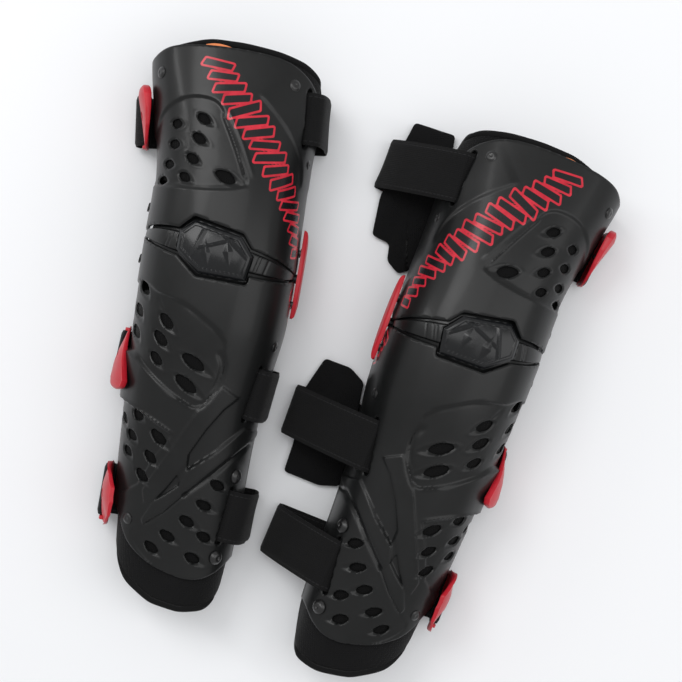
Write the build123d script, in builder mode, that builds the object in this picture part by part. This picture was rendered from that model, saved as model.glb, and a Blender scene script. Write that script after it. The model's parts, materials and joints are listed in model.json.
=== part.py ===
from build123d import *
import math
import os

# A pair of hinged motocross knee and shin guards lying on their backs, fronts up, side by side.
# Each guard is drawn once in its own frame: X points to the inner side of the leg, Y up the thigh,
# Z to the front of the knee, and the origin is on the knee hinge axis.

# ---------------------------------------------------------------- driving dimensions (mm)
SHELL = 3.0  # wall of the moulded shells
GAP = 1.0  # space between shell and liner
PAD = 10.0  # thickness of the foam liner
NOSE = 2.4  # exponent of the rounded-box cross-section
WEDGE = 9.5  # angle of each shell edge from the middle of the knee
FLEX = 60.0  # knee travel in degrees
PIN_R = 4.0  # pivot pin
PIN_FIT = 0.05  # radial clearance of the pins
STRAP_W = 44.0
STRAP_T = 2.4
BAR_R = 2.5  # bar inside each strap loop
CLIP_L = 54.0
FLOOR_CLEAR = 3.0  # liners stop this far above the floor, the straps carry the guard

# Cross-section stations: height up the leg, middle, half width, crown, start of the straight sides
STATIONS = [
    (-310, 39, 49, 29, -8),
    (-250, 31, 53, 38, -8),
    (-200, 22.5, 56.5, 46, -8),
    (-150, 15, 58.5, 53, -8),
    (-100, 9, 61.5, 60, -6),
    (-50, 5.5, 66, 66, -3),
    (0, 0, 67, 68, 0),
    (50, -8, 66.5, 65, -4),
    (100, -20, 71, 58, -8),
    (140, -28, 77, 51, -8),
    (200, -40, 79, 41, -8),
]


def station(y):
    """Middle, half width, crown and side level at height y, eased between the listed stations."""
    last = len(STATIONS) - 2
    i = max(0, min(last, sum(1 for s in STATIONS if s[0] <= y) - 1))
    a, b = STATIONS[i], STATIONS[i + 1]
    before = STATIONS[max(i - 1, 0)]
    after = STATIONS[min(i + 2, last + 1)]
    h = b[0] - a[0]
    t = (y - a[0]) / h
    values = []
    for k in range(1, 5):
        slope_a = (b[k] - before[k]) / (b[0] - before[0])
        slope_b = (after[k] - a[k]) / (after[0] - a[0])
        rise = (2 * t**3 - 3 * t**2 + 1) * a[k] + (t**3 - 2 * t**2 + t) * h * slope_a
        values.append(rise + (3 * t**2 - 2 * t**3) * b[k] + (t**3 - t**2) * h * slope_b)
    return values


def arch(y, depth, foot, count=15):
    """Points across the leg at height y, `depth` inside the outer skin, down to height `foot`."""
    middle, half, crown, side = station(y)
    half -= depth
    crown -= depth
    dense = []
    for i in range(-90, 91):
        s = math.sin(math.radians(i))
        c = math.cos(math.radians(i))
        x = middle + half * math.copysign(abs(s) ** (2 / NOSE), s)
        dense.append((x, side + (crown - side) * abs(c) ** (2 / NOSE)))
    if foot < side - 0.5:
        dense = [(middle - half, foot)] + dense + [(middle + half, foot)]
    else:
        dense = [p for p in dense if p[1] >= foot]
    steps = [0.0]
    for p, q in zip(dense, dense[1:]):
        steps.append(steps[-1] + math.dist(p, q))
    points = []
    for k in range(count):
        goal = steps[-1] * k / (count - 1)
        j = max(1, next(n for n in range(len(steps)) if steps[n] >= goal - 1e-9))
        f = (goal - steps[j - 1]) / (steps[j] - steps[j - 1])
        p, q = dense[j - 1], dense[j]
        points.append((p[0] + (q[0] - p[0]) * f, p[1] + (q[1] - p[1]) * f))
    return points


def skin_height(x, y, depth=0.0):
    """Height of the skin over the plan point x, y."""
    middle, half, crown, side = station(y)
    u = min(1.0, abs(x - middle) / (half - depth))
    return side + (crown - depth - side) * (1 - u**NOSE) ** (1 / NOSE)


def seat(x, y, depth=0.0):
    """Plane on the skin over the plan point x, y, its Z axis pointing out of the shell."""
    step = 0.5
    rise_x = (skin_height(x + step, y, depth) - skin_height(x - step, y, depth)) / (2 * step)
    rise_y = (skin_height(x, y + step, depth) - skin_height(x, y - step, depth)) / (2 * step)
    origin = (x, y, skin_height(x, y, depth))
    return Plane(origin=origin, x_dir=(1, 0, rise_x), z_dir=(-rise_x, -rise_y, 1))


def trough(stops, outer_depth, inner_depth):
    """A wall bent over the leg, lofted through the given heights; each stop is (y, foot)."""
    with BuildPart() as wall:
        for y, foot in stops:
            outside = arch(y, outer_depth, foot)
            inside = arch(y, inner_depth, foot)
            with BuildSketch(Plane.XZ.offset(-y)):
                with BuildLine():
                    Spline(*outside)
                    Line(outside[-1], inside[-1])
                    Spline(*reversed(inside))
                    Line(inside[0], outside[0])
                make_face()
        loft()
    return wall.part


def keep_inside(body, outline, bottom=-80, top=120):
    """The body cut to a plan outline given as corner points, its corners rounded by a spline."""
    with BuildPart() as kept:
        add(body)
        with BuildSketch(Plane.XY.offset(bottom)):
            with BuildLine():
                Polyline(*outline, close=True)
            make_face()
        extrude(amount=top - bottom, mode=Mode.INTERSECT)
    return kept.part


def knee_profile(half, crown, reach, thickness):
    """Half-profile over the knee: a rounded arc above the hinge axis, `reach` to each side."""
    outside = []
    inside = []
    for i in range(-6, 7):
        x = reach * i / 6
        outside.append((x, crown * (1 - (abs(x) / half) ** NOSE) ** (1 / NOSE)))
        low = max(0.0, 1 - (abs(x) / (half - thickness * 0.4)) ** NOSE) ** (1 / NOSE)
        inside.append((x, (crown - thickness) * low))
    return outside, inside


def knee_band(half, crown, reach, thickness, angle):
    """A band swung about the hinge axis, `angle` degrees to each side of the middle."""
    c = math.cos(math.radians(angle))
    s = math.sin(math.radians(angle))
    outside, inside = knee_profile(half, crown, reach, thickness)
    with BuildPart() as band:
        with BuildSketch(Plane(origin=(0, 0, 0), x_dir=(1, 0, 0), z_dir=(0, -c, s))):
            with BuildLine():
                Spline(*outside)
                Line(outside[-1], inside[-1])
                Spline(*reversed(inside))
                Line(inside[0], outside[0])
            make_face()
        revolve(axis=Axis.X, revolution_arc=2 * angle)
    return band.part


BADGE = [(-23, 20.5), (17.5, 18), (31, 4.5), (30, -16), (-8.5, -20.5), (-31, -7), (-32.5, 8.5)]


def badge_prism(grow, bottom, top):
    """The seven-sided badge outline, grown outwards, standing between two heights."""
    with BuildPart() as prism:
        with BuildSketch(Plane.XY.offset(bottom)):
            with BuildLine():
                Polyline(*BADGE, close=True)
            make_face()
            if grow > 0:
                offset(amount=grow, kind=Kind.ARC)
        extrude(amount=top - bottom)
    return prism.part


def knee_edge(sign):
    """Everything on the far side of a shell's knee edge, to be cut away."""
    with BuildPart() as block:
        with BuildSketch(Plane.YZ.offset(-120)):
            with BuildLine():
                Polyline(
                    (0, 0),
                    (sign * 0.8, 0),
                    (sign * (0.8 + 110 * math.tan(math.radians(WEDGE))), 110),
                    (-sign * 120, 110),
                    (-sign * 120, -60),
                    (0, -60),
                    close=True,
                )
            make_face()
        extrude(amount=240)
    return block.part


def vent(x, y, length, width, slant):
    """The plug of one slanted oval vent."""
    with BuildPart() as plug:
        with BuildSketch(Plane.XY.offset(-5)):
            with Locations(Location((x, y, 0), (0, 0, slant))):
                SlotOverall(length, width)
        extrude(amount=100)
    return plug.part


def slot_cut(x, y, length, turn):
    """A level strap slot through the steep side of a shell, leading out and slightly up."""
    c = math.cos(math.radians(turn))
    s = math.sin(math.radians(turn))
    lead = Plane(origin=(x, y, skin_height(x, y)), x_dir=(-s, c, 0), z_dir=(c, s, 0.3))
    with BuildPart() as plug:
        with BuildSketch(lead.offset(-9)):
            SlotOverall(length, 6.4)
        extrude(amount=20)
    return plug.part


THIGH_RIVETS = [(21, 153), (49, 95), (-90, 132)]
SHIN_RIVETS = [(68, -61), (-8, -234)]
DOMED_RIVETS = [(68.5, -174.5), (72, -245)]
SLOTS = {
    "thigh": (39, 131, 52, 10),
    "upper": (62, -104, 52, -1),
    "lower": (70.5, -209, 52, 1.5),
}

THIGH_VENTS = [
    (-64, 93, 8, 7, 0),
    (-61, 76, 8, 7, 0),
    (-61, 59, 7.5, 6.5, 0),
    (-63, 45, 7, 6, 0),
    (-42, 103, 11, 6, -13),
    (-41, 86, 11, 6, -13),
    (-41.5, 68.5, 11, 6, -13),
    (-43.5, 52, 11, 6, -13),
    (-10, 61.5, 17, 8, -13),
]
SHIN_VENTS = [
    (-51, -45, 10, 7, -23),
    (-51.5, -64, 10, 7, -23),
    (-49, -82, 10, 7, -23),
    (-23, -66, 14, 6.5, -23),
    (-24, -81, 14, 6.5, -23),
    (-23, -98, 14, 6.5, -23),
    (9, -92, 20, 8, -23),
    (8, -111, 20, 8, -23),
    (-25, -148, 9, 7, 0),
    (-38, -155, 8, 6, 0),
    (-26, -166, 10, 6, -20),
    (-26, -180, 10, 6, -20),
    (-2, -160, 15, 7, -20),
    (-4, -178, 14, 7, -20),
    (-7, -195, 14, 7, -20),
    (57.5, -185, 12, 6, -17),
    (51, -204, 13, 6, -17),
    (41, -221, 13, 6, -17),
    (58.5, -230, 12, 6, -17),
    (28.5, -237.5, 13, 6, -17),
    (18, -251, 12, 6, -17),
    (54, -250, 13, 6, -17),
]


def shell(stops, outline, sign, holes, rivets, slots, screw_y):
    """One moulded shell with its vents, strap slots and rivet holes."""
    blank = keep_inside(trough(stops, 0, SHELL), outline)
    with BuildPart() as made:
        add(blank)
        add(knee_edge(sign), mode=Mode.SUBTRACT)
        add(badge_prism(3.2, 20, 90), mode=Mode.SUBTRACT)
        for hole in holes:
            add(vent(*hole), mode=Mode.SUBTRACT)
        for name in slots:
            add(slot_cut(*SLOTS[name]), mode=Mode.SUBTRACT)
        for x, y in rivets:
            with Locations(seat(x, y).location):
                Cylinder(2.3, 12, mode=Mode.SUBTRACT)
        with Locations(Location((0, 0, 0), (0, 90, 0))):
            Cylinder(7.5, 240, mode=Mode.SUBTRACT)
        with Locations(Location((0, screw_y, 5), (0, 90, 0))):
            Cylinder(2.8, 240, mode=Mode.SUBTRACT)
    return made.part


THIGH_OUTLINE = [
    (-140, -10), (-140, 125), (-112, 134), (-104, 143), (-92, 153), (-75, 159.5), (-54, 164),
    (-30, 168), (-6, 170.5), (8, 170.5), (20, 168), (32, 162), (41, 153), (48, 143), (70, 125),
    (90, 100), (90, -10),
]
SHIN_OUTLINE = [
    (-100, 10), (-100, -200), (-60, -214), (-38, -219), (-27, -225), (-18, -234), (-9, -247),
    (1, -256), (18, -264), (36, -268), (52, -269), (65, -266), (75, -259), (82, -250),
    (90, -238), (110, -225), (110, 10),
]

thigh_shell = shell(
    [(-4, 0), (20, 0), (50, -12), (90, -17), (130, -17), (176, -12)],
    THIGH_OUTLINE, 1, THIGH_VENTS, THIGH_RIVETS, ["thigh"], 22,
)
shin_shell = shell(
    [(4, 0), (-20, 0), (-50, -12), (-100, -18), (-150, -18), (-200, -16), (-240, -13), (-276, -10)],
    SHIN_OUTLINE, -1, SHIN_VENTS, SHIN_RIVETS + DOMED_RIVETS, ["upper", "lower"], -22,
)

# ---------------------------------------------------------------- knee plate, badge and pad
with BuildPart() as patella_plate:
    add(knee_band(62.5, 64.3, 50, 2.5, 45))
    with BuildSketch(Plane.XY):
        Ellipse(53, 46)
    extrude(amount=100, mode=Mode.INTERSECT)
    add(knee_band(66.2, 67.2, 57, 6, 7))
    add(badge_prism(0.1, 64.35, 90), mode=Mode.SUBTRACT)
    for sign in (-1, 1):
        with BuildSketch(Plane.YZ.offset(50.2 * sign - (2.5 if sign < 0 else 0))):
            Circle(9)
            Polygon((-9, 0), (9, 0), (5, 45), (-5, 45), align=None)
            Circle(PIN_R + PIN_FIT, mode=Mode.SUBTRACT)
        extrude(amount=2.5)

with BuildPart() as patella_badge:
    add(badge_prism(0, 40, 90))
    add(knee_band(66.5, 69.8, 45, 5.3, 25), mode=Mode.INTERSECT)
    with BuildSketch(Plane.XY.offset(64.4)):
        Rectangle(90, 60)
    extrude(amount=30, mode=Mode.INTERSECT)

with BuildPart() as knee_pad:
    add(knee_band(59.4, 61.2, 46, 9, 38))
    with BuildSketch(Plane.XY):
        Ellipse(50, 39)
    extrude(amount=100, mode=Mode.INTERSECT)

# ---------------------------------------------------------------- liners and their wings
THIGH_LINING = [
    (-140, 40), (-140, 140), (-108, 150), (-101, 158), (-90, 166), (-72, 173), (-50, 178),
    (-25, 181), (5, 182), (22, 180), (35, 174), (45, 165), (52, 152), (90, 130), (90, 40),
]
SHIN_LINING = [
    (-100, -40), (-100, -225), (-50, -236), (-30, -246), (-19, -262), (-10, -277), (2, -288),
    (20, -294), (40, -296), (58, -292), (69, -283), (77, -270), (83, -256), (120, -240),
    (120, -40),
]
thigh_liner = keep_inside(
    trough([(46, -60), (80, -60), (110, -60), (140, -60), (184, -60)], SHELL + GAP, SHELL + GAP + PAD),
    THIGH_LINING,
)
shin_liner = keep_inside(
    trough(
        [(-46, -60), (-90, -60), (-140, -60), (-190, -60), (-240, -60), (-298, -60)],
        SHELL + GAP, SHELL + GAP + PAD,
    ),
    SHIN_LINING,
)

with BuildPart() as size_tag:
    tag_plane = seat(-57, 170.5, 2.0)
    with BuildSketch(tag_plane.offset(0.3)):
        Rectangle(25, 9)
    extrude(amount=0.7)

# ---------------------------------------------------------------- hinge hardware


def hinge_arm(side, sign, near, far):
    """Flat steel arm from the pivot into one shell; `near` and `far` are its distances out."""
    start = side * near if side > 0 else -far
    with BuildPart() as arm:
        with BuildSketch(Plane.YZ.offset(start)):
            Circle(12)
            with Locations((sign * 14, 3)):
                Rectangle(28, 18)
            Circle(PIN_R + PIN_FIT, mode=Mode.SUBTRACT)
            with Locations((sign * 22, 5)):
                Circle(2.55, mode=Mode.SUBTRACT)
        extrude(amount=far - near)
    return arm.part


def hinge_screw(side, y, near):
    """Cross-head free, flat-topped screw from outside the shell wall into the hinge arm."""
    middle, half, crown, low = station(y)
    wall = abs(side * half + middle) + 0.7
    with BuildPart() as screw:
        with Locations(Location((side * (wall + near) / 2, y, 5), (0, 90, 0))):
            Cylinder(2.5, wall - near)
        with Locations(Location((side * (wall + 0.5), y, 5), (0, 90, 0))):
            Cylinder(4.0, 1.0)
    return screw.part


def pivot_pin(side, tip):
    """Headed pin through the knee plate ear, the lower arm and the upper arm."""
    with BuildPart() as pin:
        with Locations(Location((side * (48.2 + tip) / 2, 0, 0), (0, 90, 0))):
            Cylinder(PIN_R, tip - 48.2)
        with Locations(Location((side * 49.1, 0, 0), (0, 90, 0))):
            Cylinder(7, 1.8)
        with Locations(Location((side * 60.2, 0, 0), (0, 90, 0))):
            Cylinder(6.5, 1.8)
    return pin.part


COVER_LEAN = math.degrees(math.atan(0.10))
with BuildPart() as hinge_cover:
    with BuildSketch(Plane(origin=(69.6, 0, 0), x_dir=(-0.10, 1, 0), z_dir=(1, 0.10, 0))):
        with BuildLine():
            Spline((-43, 2), (-20, 9.5), (4, 11), (26, 9.5), (44, 4))
            Spline((44, 4), (28, -4.5), (2, -7.5), (-24, -5.5), (-43, 2))
        make_face()
    extrude(amount=4.2)
    fillet(hinge_cover.edges().group_by(Axis.X)[-1], 1.2)

# ---------------------------------------------------------------- straps, clips and posts
# name: point on the outer side wall, turn in plan
CLIPS = {
    "thigh": (-92, 96, 15),
    "upper": (-52, -107, 4),
    "lower": (-31, -222, 7),
}
BAR_OUT = 6.2
BAR_Z = -15.0


def clip_plane(name):
    """Section plane of a clip: X out from the wall, Y up, Z along the leg."""
    x, y, turn = CLIPS[name]
    c = math.cos(math.radians(turn))
    s = math.sin(math.radians(turn))
    return Plane(origin=(x, y, 0), x_dir=(-c, -s, 0), z_dir=(-s, c, 0))


def clip(name):
    """Red rubber clip: a curved tab on a bar, with a hole that snaps over a post."""
    plane = clip_plane(name)
    with BuildPart() as tab:
        with BuildSketch(plane.offset(-CLIP_L / 2)):
            with BuildLine():
                Spline((3.2, -8.6), (3.4, 0), (2.6, 10), (0.2, 20), (-1.6, 25))
                Line((-1.6, 25), (2.6, 27))
                Spline((2.6, 27), (5.4, 20), (8.0, 10), (9.2, 0), (9.4, -8.6))
                Line((9.4, -8.6), (3.2, -8.6))
            make_face()
        extrude(amount=CLIP_L)
        tall = tab.edges().filter_by(lambda e: e.length < 8).sort_by(Axis.Z)[-2:]
        fillet(tall, 2.0)
        for start in (-CLIP_L / 2, CLIP_L / 2 - 4):
            with BuildSketch(plane.offset(start)):
                with Locations((BAR_OUT, BAR_Z)):
                    Circle(3.4)
                with BuildLine():
                    Polyline((2.8, BAR_Z), (9.6, BAR_Z), (9.4, -7), (3.2, -7), close=True)
                make_face()
            extrude(amount=4)
        with BuildSketch(plane.offset(-CLIP_L / 2)):
            with Locations((BAR_OUT, BAR_Z)):
                Circle(BAR_R)
        extrude(amount=CLIP_L)
        hole = plane.location * Location((5, 10, 0), (0, 90, 0))
        with Locations(hole):
            Cylinder(6.5, 24, mode=Mode.SUBTRACT)
    return tab.part


def post(name):
    """Stud on the side wall of the shell that the clip snaps over."""
    plane = clip_plane(name)
    with BuildPart() as stud:
        with Locations(plane.location * Location((3.6, 10, 0), (0, 90, 0))):
            Cylinder(2.2, 9)
        with Locations(plane.location * Location((7.4, 10, 0), (0, 90, 0))):
            Cylinder(3.6, 1.8)
    return stud.part


def strap_loop(name):
    """Folded strap end around the bar of its clip, with a short run downwards."""
    plane = clip_plane(name)
    mid = BAR_R + 0.06 + STRAP_T / 2
    with BuildPart() as loop:
        with BuildSketch(plane.offset(-STRAP_W / 2)):
            with Locations((BAR_OUT, BAR_Z)):
                Circle(mid + STRAP_T / 2)
            with Locations((BAR_OUT + mid, BAR_Z - 3.4)):
                Rectangle(STRAP_T, 6.8)
            with Locations((BAR_OUT, BAR_Z)):
                Circle(BAR_R + 0.06, mode=Mode.SUBTRACT)
        extrude(amount=STRAP_W)
    return loop.part


# Where each guard lies on the floor: hinge axis above the floor, roll towards its outer side,
# hinge centre and turn in plan, and the point each strap folds at on the inner side
GUARDS = {
    "left": {
        "height": 34.0,
        "roll": 0.0,
        "centre": (-103.0, 72.8),
        "yaw": -17.0,
        "folds": {"thigh": (54, 133.7), "upper": (76, -104), "lower": (90, -208.5)},
        "knuckle": {"thigh": 46, "upper": 50, "lower": 40},
        "thigh_wing": [(-45, 72), (30, 72), (24, 165), (-50, 165)],
        "calf_wing": [(-20, -48), (50, -48), (52, -152), (-18, -152)],
    },
    "right": {
        "height": 38.0,
        "roll": 7.0,
        "centre": (105.0, 0.7),
        "yaw": -13.4,
        "folds": {"thigh": (100, 135), "upper": (131, -93), "lower": (124, -198)},
        "knuckle": {"thigh": 14, "upper": 14, "lower": 14},
        "thigh_wing": [(56, 68), (95, 68), (90, 171), (54, 171)],
        "calf_wing": [(80, -46), (108, -42), (122, -147), (86, -155)],
    },
}


def rolled(x, z, guard):
    """A point of a guard's cross-section after the guard is rolled and set on the floor."""
    r = math.radians(guard["roll"])
    across = x * math.cos(r) - z * math.sin(r)
    return across, guard["height"] + x * math.sin(r) + z * math.cos(r)


def ribbon(start, end, path, bend):
    """Strap of constant width along a path of (distance, height) on the line start to end."""
    run = math.dist(start, end)
    along = ((end[0] - start[0]) / run, (end[1] - start[1]) / run)
    plane = Plane(
        origin=(start[0], start[1], 0),
        x_dir=(along[0], along[1], 0),
        z_dir=(along[1], -along[0], 0),
    )
    with BuildPart() as strip:
        with BuildSketch(plane.offset(-STRAP_W / 2)):
            with BuildLine():
                FilletPolyline(*path, radius=bend)
            trace(line_width=STRAP_T)
        extrude(amount=STRAP_W)
    return strip.part


def strap(name, guard):
    """Elastic strap from its slot over the inner side and along the floor to its clip."""
    slot_x, slot_y, length, turn = SLOTS[name]
    clip_x, clip_y, clip_turn = CLIPS[name]
    fold = guard["folds"][name]
    slot_x, slot_z = rolled(slot_x, skin_height(slot_x, slot_y), guard)
    middle = BAR_R + 0.06 + STRAP_T / 2
    end_x, end_z = rolled(clip_x - BAR_OUT - middle, BAR_Z - 5.6, guard)
    floor = STRAP_T / 2
    end = (end_x, clip_y)
    run = math.dist(end, fold)
    top = math.dist(fold, (slot_x, slot_y))
    bend = min(3.4, (end_z - floor) * 0.45)
    lower = ribbon(end, fold, [(0, end_z), (0, floor), (run, floor), (run, 12)], bend)
    knuckle = guard["knuckle"][name]
    upper = ribbon(
        fold,
        (slot_x, slot_y),
        [(0, 8), (0, knuckle), (top - 7, slot_z + 2.1), (top + 0.2, slot_z - 0.06)],
        3.2,
    )
    loop = Location((0, 0, guard["height"]), (0, -guard["roll"], 0)) * strap_loop(name)
    return lower, upper, loop


def wing(outline):
    """Soft wing of the liner lying flat, just above the straps."""
    with BuildPart() as flap:
        with BuildSketch(Plane.XY.offset(FLOOR_CLEAR)):
            with BuildLine():
                Polyline(*outline, close=True)
            make_face()
        extrude(amount=4)
        fillet(flap.edges().filter_by(Axis.Z), 9)
    return flap.part


def rivet(x, y, head_r, head_h):
    """Domed rivet through a shell, seated square to its skin."""
    place = seat(x, y).location
    with BuildPart() as stud:
        with Locations(place * Location((0, 0, -SHELL / 2 + 0.4))):
            Cylinder(2.2, SHELL + 1.0)
        with Locations(place * Location((0, 0, 0.9 + head_h / 2))):
            Cone(head_r, head_r * 0.62, head_h)
        with Locations(place * Location((0, 0, 0.75))):
            Cylinder(head_r, 0.35)
    return stud.part


def joined(pieces):
    """Several bodies written as one piece."""
    with BuildPart() as group:
        for piece in pieces:
            add(piece)
    return group.part


# ---------------------------------------------------------------- one guard in its own frame
RIGID = {
    "thigh_shell": thigh_shell,
    "shin_shell": shin_shell,
    "patella_plate": patella_plate.part,
    "patella_badge": patella_badge.part,
    "knee_pad": knee_pad.part,
    "thigh_liner": thigh_liner,
    "shin_liner": shin_liner,
    "size_tag": size_tag.part,
    "hinge_cover": hinge_cover.part,
    "thigh_hinge_arms": joined([hinge_arm(s, 1, 56.2, 58.7) for s in (-1, 1)]),
    "shin_hinge_arms": joined([hinge_arm(s, -1, 53.2, 55.7) for s in (-1, 1)]),
    "thigh_hinge_screws": joined([hinge_screw(s, 22, 56.2) for s in (-1, 1)]),
    "shin_hinge_screws": joined([hinge_screw(s, -22, 53.2) for s in (-1, 1)]),
    "pivot_pins": joined([pivot_pin(-1, 61), pivot_pin(1, 68.9)]),
    "thigh_rivets": joined([rivet(x, y, 5.0, 1.4) for x, y in THIGH_RIVETS]),
    "shin_rivets": joined([rivet(x, y, 4.6, 1.3) for x, y in SHIN_RIVETS]),
    "shin_dome_rivets": joined([rivet(x, y, 5.8, 3.0) for x, y in DOMED_RIVETS]),
    "thigh_clip": clip("thigh"),
    "upper_calf_clip": clip("upper"),
    "lower_calf_clip": clip("lower"),
    "thigh_clip_post": post("thigh"),
    "calf_clip_posts": joined([post("upper"), post("lower")]),
}


def on_floor(name, guard):
    """One piece of a guard, left-handed, standing over the floor."""
    if name == "thigh_strap":
        return joined(strap("thigh", guard))
    if name == "upper_calf_strap":
        return joined(strap("upper", guard))
    if name == "lower_calf_strap":
        return joined(strap("lower", guard))
    if name in ("thigh_wing", "calf_wing"):
        return wing(guard[name])
    piece = Location((0, 0, guard["height"]), (0, -guard["roll"], 0)) * RIGID[name]
    if "liner" in name:
        with BuildPart() as trimmed:
            add(piece)
            with Locations((0, 0, FLOOR_CLEAR - 50)):
                Box(500, 900, 100, mode=Mode.SUBTRACT)
        piece = trimmed.part
    return piece


NAMES = list(RIGID) + [
    "thigh_strap", "upper_calf_strap", "lower_calf_strap", "thigh_wing", "calf_wing",
]

pair = {}
for side, guard in GUARDS.items():
    spot = Location((guard["centre"][0], guard["centre"][1], 0), (0, 0, guard["yaw"]))
    for name in NAMES:
        piece = on_floor(name, guard)
        if side == "right":
            piece = mirror(piece, about=Plane.YZ)
        pair[side + "_" + name] = spot * piece

# the middle of the whole pair goes over the origin, with the floor at height zero
points = [point for piece in pair.values() for point in piece.tessellate(0.2, 0.3)[0]]
low_x, high_x = min(point.X for point in points), max(point.X for point in points)
low_y, high_y = min(point.Y for point in points), max(point.Y for point in points)
low_z = min(point.Z for point in points)
shift = Location((-(low_x + high_x) / 2, -(low_y + high_y) / 2, -low_z))

os.makedirs("parts", exist_ok=True)
for name, piece in pair.items():
    finished = shift * piece
    finished.label = name
    export_step(finished, "parts/" + name + ".step")
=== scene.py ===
import bmesh
import bpy
import json
import math
import numpy as np
from itertools import chain
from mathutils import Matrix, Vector


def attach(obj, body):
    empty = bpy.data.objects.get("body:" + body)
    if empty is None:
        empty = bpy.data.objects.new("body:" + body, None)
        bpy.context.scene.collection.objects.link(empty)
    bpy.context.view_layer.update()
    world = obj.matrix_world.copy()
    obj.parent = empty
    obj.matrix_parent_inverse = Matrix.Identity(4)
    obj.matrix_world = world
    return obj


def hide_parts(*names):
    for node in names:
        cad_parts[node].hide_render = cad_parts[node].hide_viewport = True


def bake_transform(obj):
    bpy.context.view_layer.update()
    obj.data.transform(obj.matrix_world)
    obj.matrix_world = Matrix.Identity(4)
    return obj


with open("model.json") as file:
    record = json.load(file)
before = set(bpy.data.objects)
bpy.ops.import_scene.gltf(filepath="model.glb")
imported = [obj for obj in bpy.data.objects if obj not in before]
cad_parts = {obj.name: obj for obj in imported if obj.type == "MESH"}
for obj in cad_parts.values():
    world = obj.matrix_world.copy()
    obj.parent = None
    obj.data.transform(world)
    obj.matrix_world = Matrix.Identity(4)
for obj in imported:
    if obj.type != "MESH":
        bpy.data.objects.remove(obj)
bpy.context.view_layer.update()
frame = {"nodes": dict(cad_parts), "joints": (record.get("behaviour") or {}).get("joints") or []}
JOINTS = {j["name"]: j for j in frame["joints"]}
MM = 0.001

# ------------------------------------------------------------------ the guard's own frame
# Millimetres: X to the inner side of the leg, Y up the thigh, Z to the front of the knee, with
# the origin on the knee hinge axis; the right guard is the left one mirrored.
# Each station is (y, middle, half width, crown, side level).
STATIONS = np.array([
    (-310, 39, 49, 29, -8), (-250, 31, 53, 38, -8), (-200, 22.5, 56.5, 46, -8),
    (-150, 15, 58.5, 53, -8), (-100, 9, 61.5, 60, -6), (-50, 5.5, 66, 66, -3),
    (0, 0, 67, 68, 0), (50, -8, 66.5, 65, -4), (100, -20, 71, 58, -8),
    (140, -28, 77, 51, -8), (200, -40, 79, 41, -8),
], float)
NOSE = 2.4
# (x, y, turn in degrees) of each strap slot and clip, and where each strap folds down
SLOTS = {"thigh": (39, 131, 10), "upper": (62, -104, -1), "lower": (70.5, -209, 1.5)}
CLIPS = {"thigh": (-92, 96, 15), "upper": (-52, -107, 4), "lower": (-31, -222, 7)}
FOLDS = {
    "left": {"thigh": (54, 133.7), "upper": (76, -104), "lower": (90, -208.5)},
    "right": {"thigh": (100, 135), "upper": (131, -93), "lower": (124, -198)},
}


def unit(vectors):
    """The same directions, at length 1."""
    v = np.asarray(vectors, float)
    return v / (np.linalg.norm(v, axis=-1, keepdims=True) + 1e-12)


class Guard:
    """One guard: turns its own millimetres into row metres."""

    def __init__(self, side):
        self.side = side
        self.left = side == "left"
        joint = JOINTS[side + "_knee_hinge"]
        axis = np.array(joint["axis"], float)
        up = np.array([0, 0, 1.0])
        medial = -axis if self.left else axis
        along = unit(np.cross(up, medial) if self.left else np.cross(medial, up))
        self.front = np.cross(medial, along) if self.left else np.cross(along, medial)
        self.axes = np.stack([medial, along, self.front])
        self.floor_axes = np.stack([unit(medial * [1, 1, 0]), along, up])
        self.origin = np.array(joint["pos_m"], float)
        self.roll = math.asin(medial[2])
        self.height = self.origin[2] / MM

    def local(self, points):
        """Guard points, mm, to row metres."""
        return np.asarray(points, float) * MM @ self.axes + self.origin

    def ground(self, points):
        """(across, along, height over the floor) in mm to row metres."""
        return np.asarray(points, float) * MM @ self.floor_axes + self.origin * [1, 1, 0]


GUARDS = [Guard("left"), Guard("right")]


def station(y):
    """Middle, half width, crown and side level at each height y."""
    y = np.asarray(y, float)
    xs = STATIONS[:, 0]
    h = np.diff(xs)
    i = np.clip(np.searchsorted(xs, y, side="right") - 1, 0, len(xs) - 2)
    t = (y - xs[i]) / h[i]
    out = []
    for v in STATIONS[:, 1:].T:
        ends = (v[1] - v[0]) / h[0], (v[-1] - v[-2]) / h[-1]
        slope = np.r_[ends[0], (v[2:] - v[:-2]) / (xs[2:] - xs[:-2]), ends[1]]
        out.append(
            (2 * t**3 - 3 * t**2 + 1) * v[i] + (t**3 - 2 * t**2 + t) * h[i] * slope[i]
            + (3 * t**2 - 2 * t**3) * v[i + 1] + (t**3 - t**2) * h[i] * slope[i + 1]
        )
    return out


def arch_row(y, depth, feet, ts):
    """Points across the leg at height y at the fractions ts (-1 lateral foot, 1 medial foot)."""
    middle, half, crown, side = (float(v) for v in station(y))
    half -= depth
    crown -= depth
    th = np.radians(np.linspace(-90, 90, 361))
    s, c = np.sin(th), np.cos(th)
    x = middle + half * np.sign(s) * np.abs(s) ** (2 / NOSE)
    z = side + (crown - side) * np.abs(c) ** (2 / NOSE)
    lat, med = feet
    keep = ((th < 0) & (z >= lat)) | ((th >= 0) & (z >= med))
    x, z = x[keep], z[keep]
    if lat < side - 0.2:
        x, z = np.r_[middle - half, x], np.r_[lat, z]
    if med < side - 0.2:
        x, z = np.r_[x, middle + half], np.r_[z, med]
    run = np.r_[0, np.cumsum(np.hypot(np.diff(x), np.diff(z)))]
    goal = (np.asarray(ts) + 1) / 2 * run[-1]
    return np.interp(goal, run, x), np.interp(goal, run, z), run[-1]


def skin(x, y, depth=0.0):
    """Height of the guard's plain surface, `depth` mm in from its outside."""
    middle, half, crown, side = station(y)
    u = np.clip(np.abs(x - middle) / (half - depth), 0, 1)
    return side + (crown - depth - side) * (1 - u**NOSE) ** (1 / NOSE)


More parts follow.
